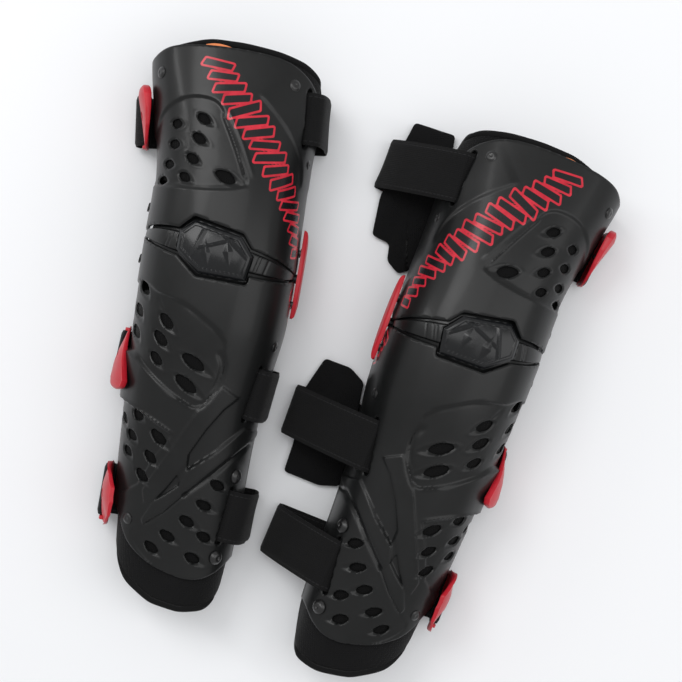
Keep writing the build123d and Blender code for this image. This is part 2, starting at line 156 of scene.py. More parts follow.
def skin_slope(x, y, step, depth=0.0):
    """Rise of that surface per mm along x and along y."""
    return [(float(skin(x + dx, y + dy, depth)) - float(skin(x - dx, y - dy, depth))) / (2 * step)
            for dx, dy in ((step, 0), (0, step))]


def cos_sin(degrees):
    return math.cos(math.radians(degrees)), math.sin(math.radians(degrees))


def grid(xs, ys):
    return np.meshgrid(xs, ys, indexing="ij")


def bell(x, width):
    """1 at 0, falling away on both sides within a width or two."""
    return np.exp(-(x / width) ** 2)


def rounded(t):
    """A quarter circle: 0 to 1 as t goes from 0 to 1."""
    return np.sqrt(np.clip(1 - (1 - np.clip(t, 0, 1)) ** 2, 0, 1))


def smooth(a, b, x):
    """0 to 1 as x goes from a to b, eased; a may be above b."""
    t = np.clip((x - a) / (b - a), 0, 1)
    return t * t * (3 - 2 * t)


def curve_through(points, count=12, closed=False):
    """A rounded line through points, `count` steps from each to the next."""
    p = np.asarray(points, float)
    p = np.concatenate([p[-1:], p, p[:2]] if closed else [p[:1], p, p[-1:]])
    t = np.linspace(0, 1, count, endpoint=False)[:, None]
    spans = [0.5 * (2 * b + (c - a) * t + (2 * a - 5 * b + 4 * c - d) * t**2
                    + (3 * b - a - 3 * c + d) * t**3)
             for a, b, c, d in zip(p, p[1:], p[2:], p[3:])]
    return np.concatenate(spans + ([] if closed else [p[-1:]]))


def line_distance(x, y, path):
    """Distance to a line and the fraction along it of the nearest point."""
    best = np.full(x.shape, 1e9)
    where = np.zeros(x.shape)
    seg = np.hypot(*np.diff(path, axis=0).T)
    run = np.r_[0, np.cumsum(seg)]
    for k in range(len(path) - 1):
        a, b = path[k], path[k + 1]
        d = b - a
        t = np.clip(((x - a[0]) * d[0] + (y - a[1]) * d[1]) / max(d @ d, 1e-9), 0, 1)
        q = np.hypot(x - a[0] - t * d[0], y - a[1] - t * d[1])
        closer = q < best
        best = np.where(closer, q, best)
        where = np.where(closer, (run[k] + t * seg[k]) / run[-1], where)
    return best, where


def inside_distance(x, y, outline):
    """Signed distance to a closed outline, positive inside."""
    loop = np.vstack([outline, outline[:1]])
    dist, _ = line_distance(x, y, loop)
    inside = np.zeros(x.shape, bool)
    for a, b in zip(loop[:-1], loop[1:]):
        cross = ((a[1] > y) != (b[1] > y))
        with np.errstate(divide="ignore", invalid="ignore"):
            at = (b[0] - a[0]) * (y - a[1]) / (b[1] - a[1]) + a[0]
        inside ^= cross & (x < at)
    return np.where(inside, dist, -dist)


def make_mesh(name, points, faces, material, flip=False, sharp=None):
    """A smooth-shaded mesh; edges that turn by more than `sharp` degrees stay crisp."""
    mesh = bpy.data.meshes.new(name)
    mesh.from_pydata(np.asarray(points).tolist(), [], [f[::-1] for f in faces] if flip else faces)
    mesh.validate(clean_customdata=False)
    mesh.shade_smooth()
    if sharp:
        mesh.set_sharp_from_angle(angle=math.radians(sharp))
    mesh.materials.append(material)
    obj = bpy.data.objects.new(name, mesh)
    bpy.context.scene.collection.objects.link(obj)
    return obj


def grid_faces(rows, cols, wrap=False, start=0):
    """Quads of a grid of points; wrap closes each row on itself."""
    r, c = np.meshgrid(np.arange(rows - 1), np.arange(cols if wrap else cols - 1), indexing="ij")
    a, b = r * cols + c, r * cols + (c + 1) % cols
    quads = np.stack([a, b, b + cols, a + cols], -1).reshape(-1, 4) + start
    return [tuple(q) for q in quads.tolist()]


def kept_faces(rows, cols, keep):
    """Quads of a grid whose four points are all kept."""
    flat = keep.ravel()
    return [q for q in grid_faces(rows, cols) if all(flat[v] for v in q)]


def tube_faces(rows, cols):
    """Quads of a grid that closes on itself, with a cap at both ends."""
    last = (rows - 1) * cols
    caps = [tuple(range(cols)), tuple(last + k for k in reversed(range(cols)))]
    return grid_faces(rows, cols, wrap=True) + caps


def slab(name, place, top, low, material, faces=None, rim=True, flip=False, sharp=None):
    """A closed mesh from two matching grids of points, and which of the points it uses."""
    faces = faces or grid_faces(*top.shape[:2])
    count = top.size // 3
    sides = faces + [tuple(v + count for v in f[::-1]) for f in faces]
    if rim:
        edges = {(a, b) for f in faces for a, b in zip(f, f[1:] + f[:1])}
        sides += sorted((b, a, a + count, b + count) for a, b in edges if (b, a) not in edges)
    used = np.zeros(2 * count, bool)
    used[list(chain.from_iterable(sides))] = True
    index = (np.cumsum(used) - 1).tolist()
    points = np.concatenate([top.reshape(-1, 3), low.reshape(-1, 3)])[used]
    sides = [tuple(index[v] for v in f) for f in sides]
    return make_mesh(name, place(points), sides, material, flip, sharp), used


def outward(obj, weld=0.0):
    """Turns a closed mesh's faces to point out, after joining points closer than weld metres."""
    bm = bmesh.new()
    bm.from_mesh(obj.data)
    if weld:
        bmesh.ops.remove_doubles(bm, verts=bm.verts, dist=weld)
    bmesh.ops.recalc_face_normals(bm, faces=bm.faces)
    bm.to_mesh(obj.data)
    bm.free()
    return obj


def settle(obj):
    """Applies an object's modifiers."""
    graph = bpy.context.evaluated_depsgraph_get()
    mesh = bpy.data.meshes.new_from_object(obj.evaluated_get(graph), depsgraph=graph)
    obj.modifiers.clear()
    obj.data = mesh
    return obj


def fit(obj, guard, body, node=None):
    """Puts a piece on the body it rides on and hides the CAD node it stands for."""
    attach(obj, f"{guard.side}_{body}")
    if node:
        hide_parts(f"{guard.side}_{node}")


def set_uv(obj, uv_of_vertex):
    mesh = obj.data
    layer = mesh.uv_layers.new(name="UVMap")
    loops = np.zeros(len(mesh.loops), np.int32)
    mesh.loops.foreach_get("vertex_index", loops)
    layer.data.foreach_set("uv", np.asarray(uv_of_vertex, np.float32)[loops].ravel())


def set_attribute(obj, name, values):
    attribute = obj.data.attributes.new(name, "FLOAT", "POINT")
    attribute.data.foreach_set("value", np.asarray(values, np.float32))


# ------------------------------------------------------------------ materials
class Nodes:
    """A short way to write a node tree."""

    def __init__(self, name):
        self.material = bpy.data.materials.new(name)
        self.material.use_nodes = True
        self.tree = self.material.node_tree
        self.bsdf = self.tree.nodes["Principled BSDF"]
        coordinates = self.add("ShaderNodeTexCoord").outputs
        self.at, self.uv = coordinates["Object"], coordinates["UV"]

    def feed(self, socket, value):
        """Links a socket to another one, or sets its own value."""
        if isinstance(value, bpy.types.NodeSocket):
            self.tree.links.new(value, socket)
        else:
            socket.default_value = value

    def add(self, kind, inputs=None, **settings):
        node = self.tree.nodes.new(kind)
        for key, value in settings.items():
            setattr(node, key, value)
        for key, value in (inputs or {}).items():
            self.feed(node.inputs[key], value)
        return node

    def math(self, operation, a, b=0.0):
        return self.add("ShaderNodeMath", {0: a, 1: b}, operation=operation).outputs[0]

    def times(self, a, b):
        return self.math("MULTIPLY", a, b)

    def plus(self, a, b):
        return self.math("ADD", a, b)

    def waves(self, value, width):
        """Rounded ridges, one to each width."""
        return self.math("ABSOLUTE", self.math("SINE", self.times(value, math.pi / width)))

    def noise(self, scale, detail=3.0, roughness=0.5, at=None):
        return self.add("ShaderNodeTexNoise", {
            "Vector": at or self.at, "Scale": scale, "Detail": detail, "Roughness": roughness,
        }).outputs["Fac"]

    def attribute(self, name):
        return self.add("ShaderNodeAttribute", attribute_name=name).outputs["Fac"]

    def ramp(self, fac, low, high, colour_low, colour_high):
        node = self.add("ShaderNodeValToRGB", {0: fac})
        ends = zip(node.color_ramp.elements, (low, high), (colour_low, colour_high))
        for element, position, colour in ends:
            element.position = position
            element.color = (*colour, 1)
        return node.outputs[0]

    def map(self, value, from_low, from_high, to_low=0.0, to_high=1.0):
        return self.add("ShaderNodeMapRange", {
            "Value": value, "From Min": from_low, "From Max": from_high,
            "To Min": to_low, "To Max": to_high,
        }).outputs[0]

    def mix(self, fac, a, b):
        node = self.add("ShaderNodeMix", data_type="RGBA")
        self.feed(node.inputs[0], fac)
        for socket, value in ((node.inputs[6], a), (node.inputs[7], b)):
            self.feed(socket, (*value, 1) if isinstance(value, tuple) else value)
        return node.outputs[2]

    def bump(self, height, distance, strength=1.0, below=None):
        inputs = {"Height": height, "Distance": distance, "Strength": strength}
        if below is not None:
            inputs["Normal"] = below
        return self.add("ShaderNodeBump", inputs).outputs[0]

    def finish(self, **sockets):
        """Feeds the shader's sockets, their names written with _ for a space."""
        for key, value in sockets.items():
            self.feed(self.bsdf.inputs[key.replace("_", " ")], value)
        return self.material


def dimmed(colour, share):
    return tuple(c * share for c in colour)


def moulded(name, dark, light, rough, shine, marked=False):
    """Injection-moulded plastic: fine spark-eroded grain, faint cloudiness, a few scuffs."""
    n = Nodes(name)
    cloud = n.noise(18.0, 4.0, 0.6)
    streaks = n.add("ShaderNodeMapping", {"Vector": n.at, "Rotation": (0.2, 0.1, 0.7),
                                          "Scale": (1.0, 14.0, 3.0)}).outputs[0]
    scuffs = n.map(n.noise(55.0, 5.0, 0.7, at=streaks), 0.66, 0.74)
    roughness = n.plus(n.map(cloud, 0.3, 0.7, rough - 0.05, rough + 0.05), n.times(scuffs, 0.10))
    colour = n.ramp(cloud, 0.3, 0.75, dark, light)
    colour = n.mix(n.times(scuffs, 0.22), colour, dimmed(light, 1.9))
    grain = n.noise(2600.0, 2.0)
    normal = n.bump(grain, 0.00004, 0.6, n.bump(n.noise(60.0, 2.0), 0.0002, 0.35))
    if marked:
        mark = n.attribute("mark")
        printed, heart = n.map(mark, -1.8, -1.55), n.map(mark, -0.1, 0.15)
        red = n.ramp(n.noise(120.0), 0.3, 0.8, (0.42, 0.012, 0.028), (0.62, 0.03, 0.05))
        colour = n.mix(heart, colour, (0.008, 0.008, 0.009))
        colour = n.mix(n.math("SUBTRACT", printed, heart), colour, red)
        roughness = n.math("SUBTRACT", roughness, n.times(printed, 0.12))
    return n.finish(Base_Color=colour, Roughness=roughness, Normal=normal,
                    Specular_IOR_Level=shine, Coat_Weight=0.10, Coat_Roughness=0.14)


def mesh_fabric(name, dark, light, cell=0.0016):
    """Knitted spacer mesh: staggered round openings, painted dark as shade, between fuzzy threads;
    painted shade also turns it near black where the shade attribute is 1.
    """
    n = Nodes(name)
    cells = n.add("ShaderNodeTexVoronoi", {"Vector": n.at, "Scale": 1.0 / (cell * 1.15),
                                           "Randomness": 0.35}).outputs["Distance"]
    threads = n.map(cells, 0.05, 0.42)
    base = n.ramp(n.noise(22.0), 0.3, 0.8, dark, light)
    # painted shade: the openings are painted nearly black, standing in for the shade inside them; the
    # threads keep the fabric's own colour
    colour = n.mix(n.times(threads, 0.75), dimmed(dark, 0.25), base)
    # painted shade: where the shade attribute is 1 (the liner under a shell) the colour is pulled near
    # black, standing in for the shell's shadow
    colour = n.mix(n.times(n.attribute("shade"), 0.9), colour, (0.0006, 0.0006, 0.0007))
    height = n.plus(threads, n.times(n.noise(1800.0, 4.0, 0.7), 0.35))
    return n.finish(Base_Color=colour, Roughness=0.92, Normal=n.bump(height, 0.0006, 0.8),
                    Sheen_Weight=0.05, Specular_IOR_Level=0.18, Sheen_Roughness=0.5)


def webbing(name, dark, light, stitches=False):
    """Woven elastic: cords along the strap crossed by fine picks; UV is metres along, across."""
    rib, pick, stitch = 0.0016, 0.0012, 0.0042
    n = Nodes(name)
    along, across, _ = n.add("ShaderNodeSeparateXYZ", {0: n.uv}).outputs
    shift = n.math("FLOOR", n.math("DIVIDE", across, rib))
    picks = n.waves(n.plus(along, n.times(shift, pick / 2)), pick)
    weave = n.times(n.math("POWER", n.waves(across, rib), 0.6), n.plus(0.45, n.times(picks, 0.55)))
    base = n.ramp(n.noise(30.0), 0.3, 0.8, dark, light)
    # painted shade: the low gaps between cords and picks are painted darker, from the same weave height
    # that makes the bump
    colour = n.mix(n.times(weave, 0.7), dimmed(dark, 0.45), base)
    height = n.plus(weave, n.times(n.noise(1500.0, 3.0, 0.7), 0.3))
    if stitches:
        seam = n.math("ABSOLUTE", n.math("SUBTRACT", n.math("ABSOLUTE", across), 0.0188))
        dash = n.math("LESS_THAN", n.math("FRACT", n.math("DIVIDE", along, stitch)), 0.68)
        thread = n.times(n.math("LESS_THAN", seam, 0.00035), dash)
        colour = n.mix(n.times(thread, 0.8), colour, dimmed(light, 2.6))
        height = n.plus(height, n.times(thread, 0.9))
    return n.finish(Base_Color=colour, Roughness=0.86, Normal=n.bump(height, 0.0004, 0.7),
                    Sheen_Weight=0.06, Specular_IOR_Level=0.2, Sheen_Roughness=0.45)


def rubber(name, dark, light):
    """Soft red elastomer with a satin skin and pale specks."""
    n = Nodes(name)
    cloud = n.noise(40.0, 4.0, 0.6)
    specks = n.map(n.noise(420.0, 3.0, 0.7), 0.66, 0.72)
    colour = n.mix(n.times(specks, 0.25), n.ramp(cloud, 0.3, 0.75, dark, light), (0.62, 0.2, 0.19))
    return n.finish(Base_Color=colour, Roughness=n.map(cloud, 0.3, 0.7, 0.36, 0.48),
                    Normal=n.bump(n.noise(1500.0, 3.0, 0.6), 0.00006, 0.6),
                    Specular_IOR_Level=0.3, Coat_Weight=0.1, Coat_Roughness=0.3)


def steel(name):
    """Brushed and plated steel."""
    n = Nodes(name)
    brushed = n.add("ShaderNodeMapping", {"Vector": n.at, "Scale": (1.0, 1.0, 30.0)}).outputs[0]
    lines = n.noise(300.0, 3.0, 0.6, at=brushed)
    colour = n.ramp(lines, 0.3, 0.7, (0.035, 0.035, 0.037), (0.075, 0.075, 0.078))
    return n.finish(Base_Color=colour, Roughness=n.map(lines, 0.3, 0.7, 0.38, 0.52), Metallic=1.0,
                    Normal=n.bump(lines, 0.00005, 0.5))


def tape(name, dark, light):
    """Thin woven label tape."""
    n = Nodes(name)
    warp, weft, _ = n.add("ShaderNodeSeparateXYZ", {0: n.at}).outputs
    weave = n.times(n.waves(warp, 0.0005), n.waves(weft, 0.0005))
    # painted shade: the gaps between the threads are painted darker orange, from the same weave height
    # that makes the bump
    return n.finish(Base_Color=n.ramp(weave, 0.0, 0.8, dark, light), Roughness=0.75,
                    Normal=n.bump(weave, 0.0001, 0.5))


SHELL_MAT = moulded("moulded_shell", (0.0046, 0.0049, 0.0050), (0.0074, 0.0078, 0.0080), 0.37, 0.24,
                    marked=True)
PLATE_MAT = moulded("moulded_plate", (0.0055, 0.0058, 0.006), (0.0085, 0.009, 0.0094), 0.32, 0.28)
BADGE_MAT = moulded("moulded_badge", (0.006, 0.0064, 0.007), (0.010, 0.0107, 0.012), 0.22, 0.26)
RIVET_MAT = moulded("moulded_rivet", (0.006, 0.006, 0.0064), (0.010, 0.010, 0.0104), 0.32, 0.45)
LINER_MAT = mesh_fabric("spacer_mesh", (0.0034, 0.0034, 0.0038), (0.006, 0.006, 0.0066))
JERSEY_MAT = mesh_fabric("stretch_jersey", (0.0045, 0.0045, 0.005), (0.007, 0.007, 0.0076), 0.0008)
WEBBING_MAT = webbing("elastic_webbing", (0.0034, 0.0034, 0.0038), (0.006, 0.006, 0.0065), stitches=True)
BINDING_MAT = webbing("edge_binding", (0.003, 0.003, 0.0033), (0.0054, 0.0054, 0.006))
RED_MAT = rubber("red_elastomer", (0.40, 0.008, 0.018), (0.54, 0.016, 0.030))
STEEL_MAT = steel("zinc_steel")
ORANGE_MAT = tape("orange_label_tape", (0.62, 0.16, 0.045), (0.86, 0.30, 0.11))

# ------------------------------------------------------------------ shells
# Outlines and lines are (x, y) points; an opening is (x, y, length, width, slant in degrees).
BADGE = np.array([(-23, 20.5), (17.5, 18), (31, 4.5), (30, -16), (-8.5, -20.5), (-31, -7),
                  (-32.5, 8.5)], float)
THIGH_OUTLINE = curve_through([
    (-150, -30), (-150, 60), (-146, 118), (-118, 132), (-105, 142), (-92, 153), (-75, 159.5),
    (-54, 164), (-30, 168), (-6, 170.5), (8, 170.5), (20, 168), (32, 162), (41, 153), (48, 143),
    (72, 125), (100, 90), (100, 0), (100, -30),
], 8, closed=True)
SHIN_OUTLINE = curve_through([
    (-100, 30), (-100, -60), (-100, -190), (-62, -212), (-40, -219), (-27, -226), (-18, -234),
    (-9, -247), (1, -256), (18, -264), (36, -268), (52, -269), (65, -266), (75, -259),
    (82, -250), (92, -236), (112, -225), (125, -180), (125, -60), (125, 30),
], 8, closed=True)
THIGH_VENTS = [
    (-64, 93, 8, 6.6, 0), (-61, 76, 8, 6.6, 0), (-61, 59, 7.5, 6.3, 0), (-63, 45, 7, 5.8, 0),
    (-42, 103, 12, 6.2, -20), (-41, 86, 12, 6.2, -20), (-41.5, 68.5, 11, 6, -20),
    (-43.5, 52, 10, 6, -20), (-10, 61.5, 17.5, 8, -13),
]
SHIN_VENTS = [
    (-51, -45, 12, 6.4, -48), (-51.5, -64, 12, 6.4, -48), (-49, -82, 12, 6.4, -48),
    (-23, -66, 15, 6.6, -34), (-24, -81, 15, 6.6, -34), (-23, -98, 13, 6, -34),
    (9, -92, 21, 7.6, -20), (8, -111, 21, 7.6, -24),
    (-25, -148, 10, 6, -30), (-38, -155, 9, 5, -50), (-26, -166, 10, 5.6, -35),
    (-26, -180, 9, 5, -40), (-2, -160, 16, 6.6, -28), (-4, -178, 13, 6, -28),
    (-7, -195, 13, 6, -30), (57.5, -185, 12, 6, -17), (51, -204, 13, 6, -17),
    (41, -221, 13, 6.4, -20), (58.5, -230, 12, 6, -17), (28.5, -237.5, 13.5, 6, -20),
    (18, -251, 13, 6, -25), (54, -250, 13, 6.6, -17),
]


def almond(x, y, hole, grow=0.0, point=1.55):
    """Distance outside a slanted opening with pointed ends."""
    cx, cy, length, width, slant = hole
    c, s = cos_sin(slant)
    u = np.abs((x - cx) * c + (y - cy) * s) / (length / 2 + grow)
    v = np.abs(-(x - cx) * s + (y - cy) * c) / (width / 2 + grow)
    return ((u**point + v**point) ** (1 / point) - 1) * (width / 2 + grow)


def dish(x, y, hole, depth):
    """A scoop round an opening that runs on past its lower inner end, with a raised lip."""
    cx, cy, length, width, slant = hole
    c, s = cos_sin(slant)
    shift = length * 0.17
    d = almond(x, y, (cx + shift * c, cy + shift * s, length * 1.42, width * 1.16, slant))
    return -depth * smooth(0.9, -1.0, d) + 0.16 * bell(d - 1.3, 0.7)


def plateau(x, y, outline, rise, ramp):
    """A raised (or sunk) area with a sloping edge, `ramp` mm wide."""
    return rise * smooth(-ramp / 2, ramp / 2, inside_distance(x, y, outline))


def ridge(x, y, points, rise, width, taper=0.12):
    """A raised (or sunk) line, fading out at its two ends."""
    d, t = line_distance(x, y, curve_through(points, 10))
    ends = smooth(0, taper, t) * smooth(0, taper, 1 - t)
    return rise * ends * np.exp(-((d / (width / 2)) ** 2) * 1.2)


def step_line(x, y, points, rise, ramp, reach):
    """A crease: one side of the line stands up by `rise` at the line and fades over `reach`."""
    path = curve_through(points, 10)
    d, t = line_distance(x, y, path)
    k = np.clip((t * (len(path) - 1)).astype(int), 0, len(path) - 2)
    a, b = path[k], path[k + 1]
    side = np.sign((b[..., 0] - a[..., 0]) * (y - a[..., 1]) - (b[..., 1] - a[..., 1]) * (x - a[..., 0]))
    ends = smooth(0, 0.1, t) * smooth(0, 0.1, 1 - t)
    s = d * side
    return rise * ends * smooth(-ramp / 2, ramp / 2, s) * np.exp(-np.clip(s, 0, None) / reach)


THIGH_PANEL = curve_through([(-82, 84), (-78, 100), (-68, 112), (-56, 118.5), (-42, 120.5), (-33, 118),
                             (-26, 111), (-9, 88), (8, 64), (4, 56), (-18, 48), (-40, 43.5),
                             (-68, 40), (-84, 44), (-86, 64)], 6, closed=True)
SHIN_PANEL = curve_through([(-80, -100), (-78, -60), (-56, -40), (-36, -45), (-17, -47), (6, -56),
                            (27, -66), (31, -76), (35, -90), (33, -104), (27, -117), (21, -127),
                            (8, -125), (-4, -122), (-28, -109), (-46, -98)], 6, closed=True)
LOW_PANEL = np.array([(-70, -141), (-44, -140), (-28, -143), (-15, -147), (9, -155), (0, -175),
                      (-8, -203), (-20, -215), (-70, -215)], float)
BASE_PANEL = curve_through([(73, -150), (62, -163), (46, -184), (31, -207), (20, -222), (4, -236),
                            (-2, -246), (18, -262), (52, -272), (84, -262), (104, -220),
                            (100, -160)], 6, closed=True)

THIGH_RIDGES = [
    ([(-29, 113), (-10, 88), (7, 63)], 1.7, 2.2), ([(-24, 116), (-4, 91), (13, 66)], 0.8, 2.4),
    ([(-82, 42), (-52, 43), (-20, 49), (6, 58)], 0.5, 3.0),
]
SHIN_RIDGES = [
    ([(-19, -45), (4, -54), (29, -65)], -1.6, 2.8, 0.3),
    ([(-37, -47), (-29, -57), (-22, -66)], -0.6, 3.4, 0.3),
    ([(25, -76), (33, -86), (34, -100), (31, -114), (22, -130)], -2.2, 4.6, 0.16),
    ([(-46, -98), (-28, -109), (-4, -121), (19, -129)], 1.2, 2.2),
    ([(-62, -139), (-44, -139), (-15, -145), (12, -154)], 0.9, 2.0),
    ([(25, -127), (17, -150), (8, -177), (-2, -206)], 0.6, 2.0),
    ([(73, -145), (52, -174), (31, -202)], -2.6, 4.4, 0.04),
    ([(36, -196), (31, -202), (20, -219), (5, -235)], -1.5, 2.8, 0.1),
]


def thigh_relief(x, y):
    """Height of the thigh shell's panel, ridges, crease and scoops."""
    h = plateau(x, y, THIGH_PANEL, -1.4, 2.2)
    h = h + step_line(x, y, [(-6, 137), (14, 124), (31, 110), (44, 92), (50, 70)], 1.0, 2.6, 16)
    return h + sum(ridge(x, y, *r) for r in THIGH_RIDGES) + sum(dish(x, y, v, 0.6) for v in THIGH_VENTS)


BAND = np.array([(-90, -96), (-46, -99), (-28, -110), (-4, -123), (14, -129), (22, -134),
                 (13, -153), (-15, -146), (-44, -139), (-90, -138)], float)
LEFT_ARM = np.array([(24, -128), (17, -150), (8, -177), (-2, -206), (2, -216), (9.5, -212),
                     (16.5, -199), (23, -184), (28, -172), (27, -166), (35, -142), (44, -122),
                     (52, -110), (38, -104)], float)
RIGHT_ARM = np.array([(64, -133), (46, -160), (29, -179), (26, -193), (18, -203), (9.5, -212),
                      (4, -230), (6, -234), (20, -219), (31, -202), (51, -176), (72, -145),
                      (74, -136)], float)
FACET = np.array([(54, -108), (44, -122), (35, -142), (27, -166), (29, -179), (46, -160),
                  (64, -133), (72, -118)], float)
LOW_FACET = np.array([(23, -184), (16.5, -199), (9.5, -212), (18, -203), (26, -193)], float)


def shin_relief(x, y):
    """Height of the shin shell's panels, its V of raised arms, its grooves and scoops."""
    h = plateau(x, y, BAND, 1.0, 1.6) * smooth(16, -40, x) * (1 + 2.2 * smooth(-34, -50, x))
    notch = np.hypot(x - 28, y + 172)
    h = h + plateau(x, y, FACET, -1, 2.0) * (0.3 + 1.6 * smooth(62, 6, notch))
    for outline, rise, ramp in ((SHIN_PANEL, -1.5, 1.8), (LOW_PANEL, -1.4, 1.6), (LEFT_ARM, 1.1, 1.3),
                                (RIGHT_ARM, 1.2, 1.3), (LOW_FACET, -1.4, 2.6), (BASE_PANEL, -0.6, 1.5)):
        h = h + plateau(x, y, outline, rise, ramp)
    return h + sum(ridge(x, y, *r) for r in SHIN_RIDGES) + sum(dish(x, y, v, 0.8) for v in SHIN_VENTS)


def shard(centre, length, width, slant, lean):
    """A plain four-cornered shard of the printed decoration."""
    c, s = cos_sin(slant)
    u, v = np.array([c, s]), np.array([-s, c])
    corners = ((-0.5, -0.5), (0.42, -0.32), (0.5, 0.5 + lean), (-0.38, 0.5))
    return np.array([centre + u * length * p + v * width * q for p, q in corners])


def shard_run(stops, count, seed):
    """Blank shards along a band: (arc, y, half height of the band) at each stop."""
    path = curve_through(stops, 16)
    rng = np.random.default_rng(seed)
    run = np.r_[0, np.cumsum(np.hypot(*np.diff(path[:, :2], axis=0).T))]

    def stop(at):
        return np.array([np.interp(at, run, path[:, i]) for i in range(3)])

    shapes = []
    for k in range(count):
        at = run[-1] * (k + 0.5) / count
        ahead = stop(at + 2) - stop(at - 2)
        slope = math.degrees(math.atan2(ahead[1], ahead[0]))
        shapes.append(shard(stop(at)[:2], stop(at)[2] * rng.uniform(1.5, 2.1),
                            run[-1] / count * rng.uniform(0.50, 0.62),
                            slope + 90 - rng.uniform(14, 30), rng.uniform(0, 0.3)))
    return shapes


SHARDS = shard_run([(-17, 154, 13), (-5, 136, 14), (12, 119, 15), (29, 101, 16), (42, 82, 15),
                    (56, 66, 14), (69, 48, 12), (78, 30, 10), (84, 14, 8)], 17, 4)
SHIN_SHARDS = shard_run([(92, -11, 7), (104, -22, 8), (110, -38, 7)], 4, 6)

OFF_MARK = -99.0  # the mark on a shell's inside, which has no decoration


def mark_field(x, y, shards):
    """Positive inside the decoration's dark hearts, falling by 1 per mm outside them."""
    return np.max([inside_distance(x, y, s) for s in shards], axis=0)


def shell_field(P, outline, sign, holes, slots):
    """Positive on the shell, in millimetres from its nearest edge."""
    x, y, z = P[..., 0], P[..., 1], P[..., 2]
    lean_cos, lean_sin = cos_sin(9.5)
    badge_gap, hinge_gap, slot_half, slot_round = 3.2, 7.5, 22, 3.1
    field = inside_distance(x, y, outline)
    field = np.minimum(field, (sign * y - 0.8) * lean_cos - np.clip(z, 0, None) * lean_sin)
    field = np.minimum(field, -inside_distance(x, y, BADGE) - badge_gap)
    field = np.minimum(field, np.hypot(y, z) - hinge_gap)
    for hole in holes:
        field = np.minimum(field, almond(x, y, hole, grow=0.75, point=1.7))
    for name in slots:
        sx, sy, turn = SLOTS[name]
        c, s = cos_sin(turn)
        along = -(x - sx) * s + (y - sy) * c
        level = z - float(skin(sx, sy)) - 0.3 * ((x - sx) * c + (y - sy) * s)
        d = np.hypot(along - np.clip(along, -slot_half, slot_half), level * 0.96) - slot_round
        field = np.minimum(field, np.where(x > sx - 30, d, 50))
    return field


def shell(guard, name, y_range, feet, relief, outline, sign, holes, slots, shards):
    """A moulded shell: fine skin with relief, its openings cut on exact outlines, a rolled edge."""
    pitch = 1.15
    widest, edge_round, halfway = 235, 0.9, 0.5001
    thinnest, thickest, deepest, highest = 2.8, 4.0, -2.7, 3.4
    rows, cols = int(abs(y_range[1] - y_range[0]) / pitch) + 1, int(widest / pitch)
    ts = np.linspace(-1, 1, cols)
    P, arcs = np.zeros((rows, cols, 3)), np.zeros((rows, 1))
    for i, y in enumerate(np.linspace(*sorted(y_range), rows)):
        foot = np.interp(y, *feet)
        x, z, arcs[i] = arch_row(y, 0.0, (foot, foot), ts)
        P[i] = np.stack([x, np.full(cols, y), z], -1)
    N = unit(np.cross(np.gradient(P, axis=1), np.gradient(P, axis=0)))
    edge = (1 - np.abs(ts))[None] * arcs / 2
    h = np.clip(relief(P[..., 0], P[..., 1]), deepest, highest) * smooth(0, 6, edge)
    base = P + N * h[..., None]
    F = shell_field(P, outline, sign, holes, slots)

    # a point less than halfway to the other side of an edge moves on to the edge
    best = np.full(F.shape, halfway)
    target, plain = base, P
    for axis, step in ((1, 1), (1, -1), (0, 1), (0, -1)):
        Fn, Bn, Pn = (np.roll(a, -step, axis) for a in (F, base, P))
        cross = (F > 0) != (Fn > 0)
        np.moveaxis(cross, axis, 0)[-1 if step == 1 else 0] = False
        t = np.where(cross, F / np.where(cross, F - Fn, 1), 9)
        use = (t < best)[..., None]
        best = np.minimum(t, best)
        target = np.where(use, base + t[..., None] * (Bn - base), target)
        plain = np.where(use, P + t[..., None] * (Pn - P), plain)
    snapped = best < halfway
    state = np.where(snapped, 0, np.sign(F)).astype(int).ravel()
    near = np.minimum(np.minimum(np.where(snapped, 0, np.abs(F)), edge), edge_round)
    drop = edge_round - np.sqrt(np.clip(edge_round**2 - (edge_round - near) ** 2, 0, None))
    outer = target - N * (drop * 0.85)[..., None]
    inner = plain - N * np.clip(1.3 - h, thinnest, thickest)[..., None]

    # whole quads, and the triangles left where an edge cuts one corner off
    quads = np.array(grid_faces(rows, cols))
    st = state[quads]
    outside, on_edge = (st < 0).sum(1), (st == 0).sum(1)
    faces = [tuple(q) for q in quads[(outside == 0) & (on_edge < 4)].tolist()]
    cut = (outside == 1) & (on_edge == 2)
    for q, corners in zip(quads[cut].tolist(), st[cut]):
        k = int(np.argmin(corners))
        if corners[(k + 2) % 4] > 0:
            faces.append((q[(k + 1) % 4], q[(k + 2) % 4], q[(k + 3) % 4]))
    obj, used = slab(f"{guard.side}_{name}_moulding", guard.local, outer, inner, SHELL_MAT, faces,
                     flip=not guard.left, sharp=38)
    mark = mark_field(ts[None] * arcs / 2, target[..., 1], shards).ravel()
    set_attribute(obj, "mark", np.r_[mark, np.full(mark.size, OFF_MARK)][used])
    return obj


THIGH_FEET = ([-4, 20, 50, 90, 130, 176], [0, 0, -12, -17, -17, -12])
SHIN_FEET = ([-276, -240, -200, -150, -100, -50, -20, 4], [-10, -13, -16, -18, -18, -12, 0, 0])
for guard in GUARDS:
    obj = shell(guard, "thigh_shell", (-4, 176), THIGH_FEET, thigh_relief, THIGH_OUTLINE, 1,
                THIGH_VENTS, ["thigh"], SHARDS)
    fit(obj, guard, "thigh", "thigh_shell")
    obj = shell(guard, "shin_shell", (4, -276), SHIN_FEET, shin_relief, SHIN_OUTLINE, -1,
                SHIN_VENTS, ["upper", "lower"], SHIN_SHARDS)
    fit(obj, guard, "shin", "shin_shell")

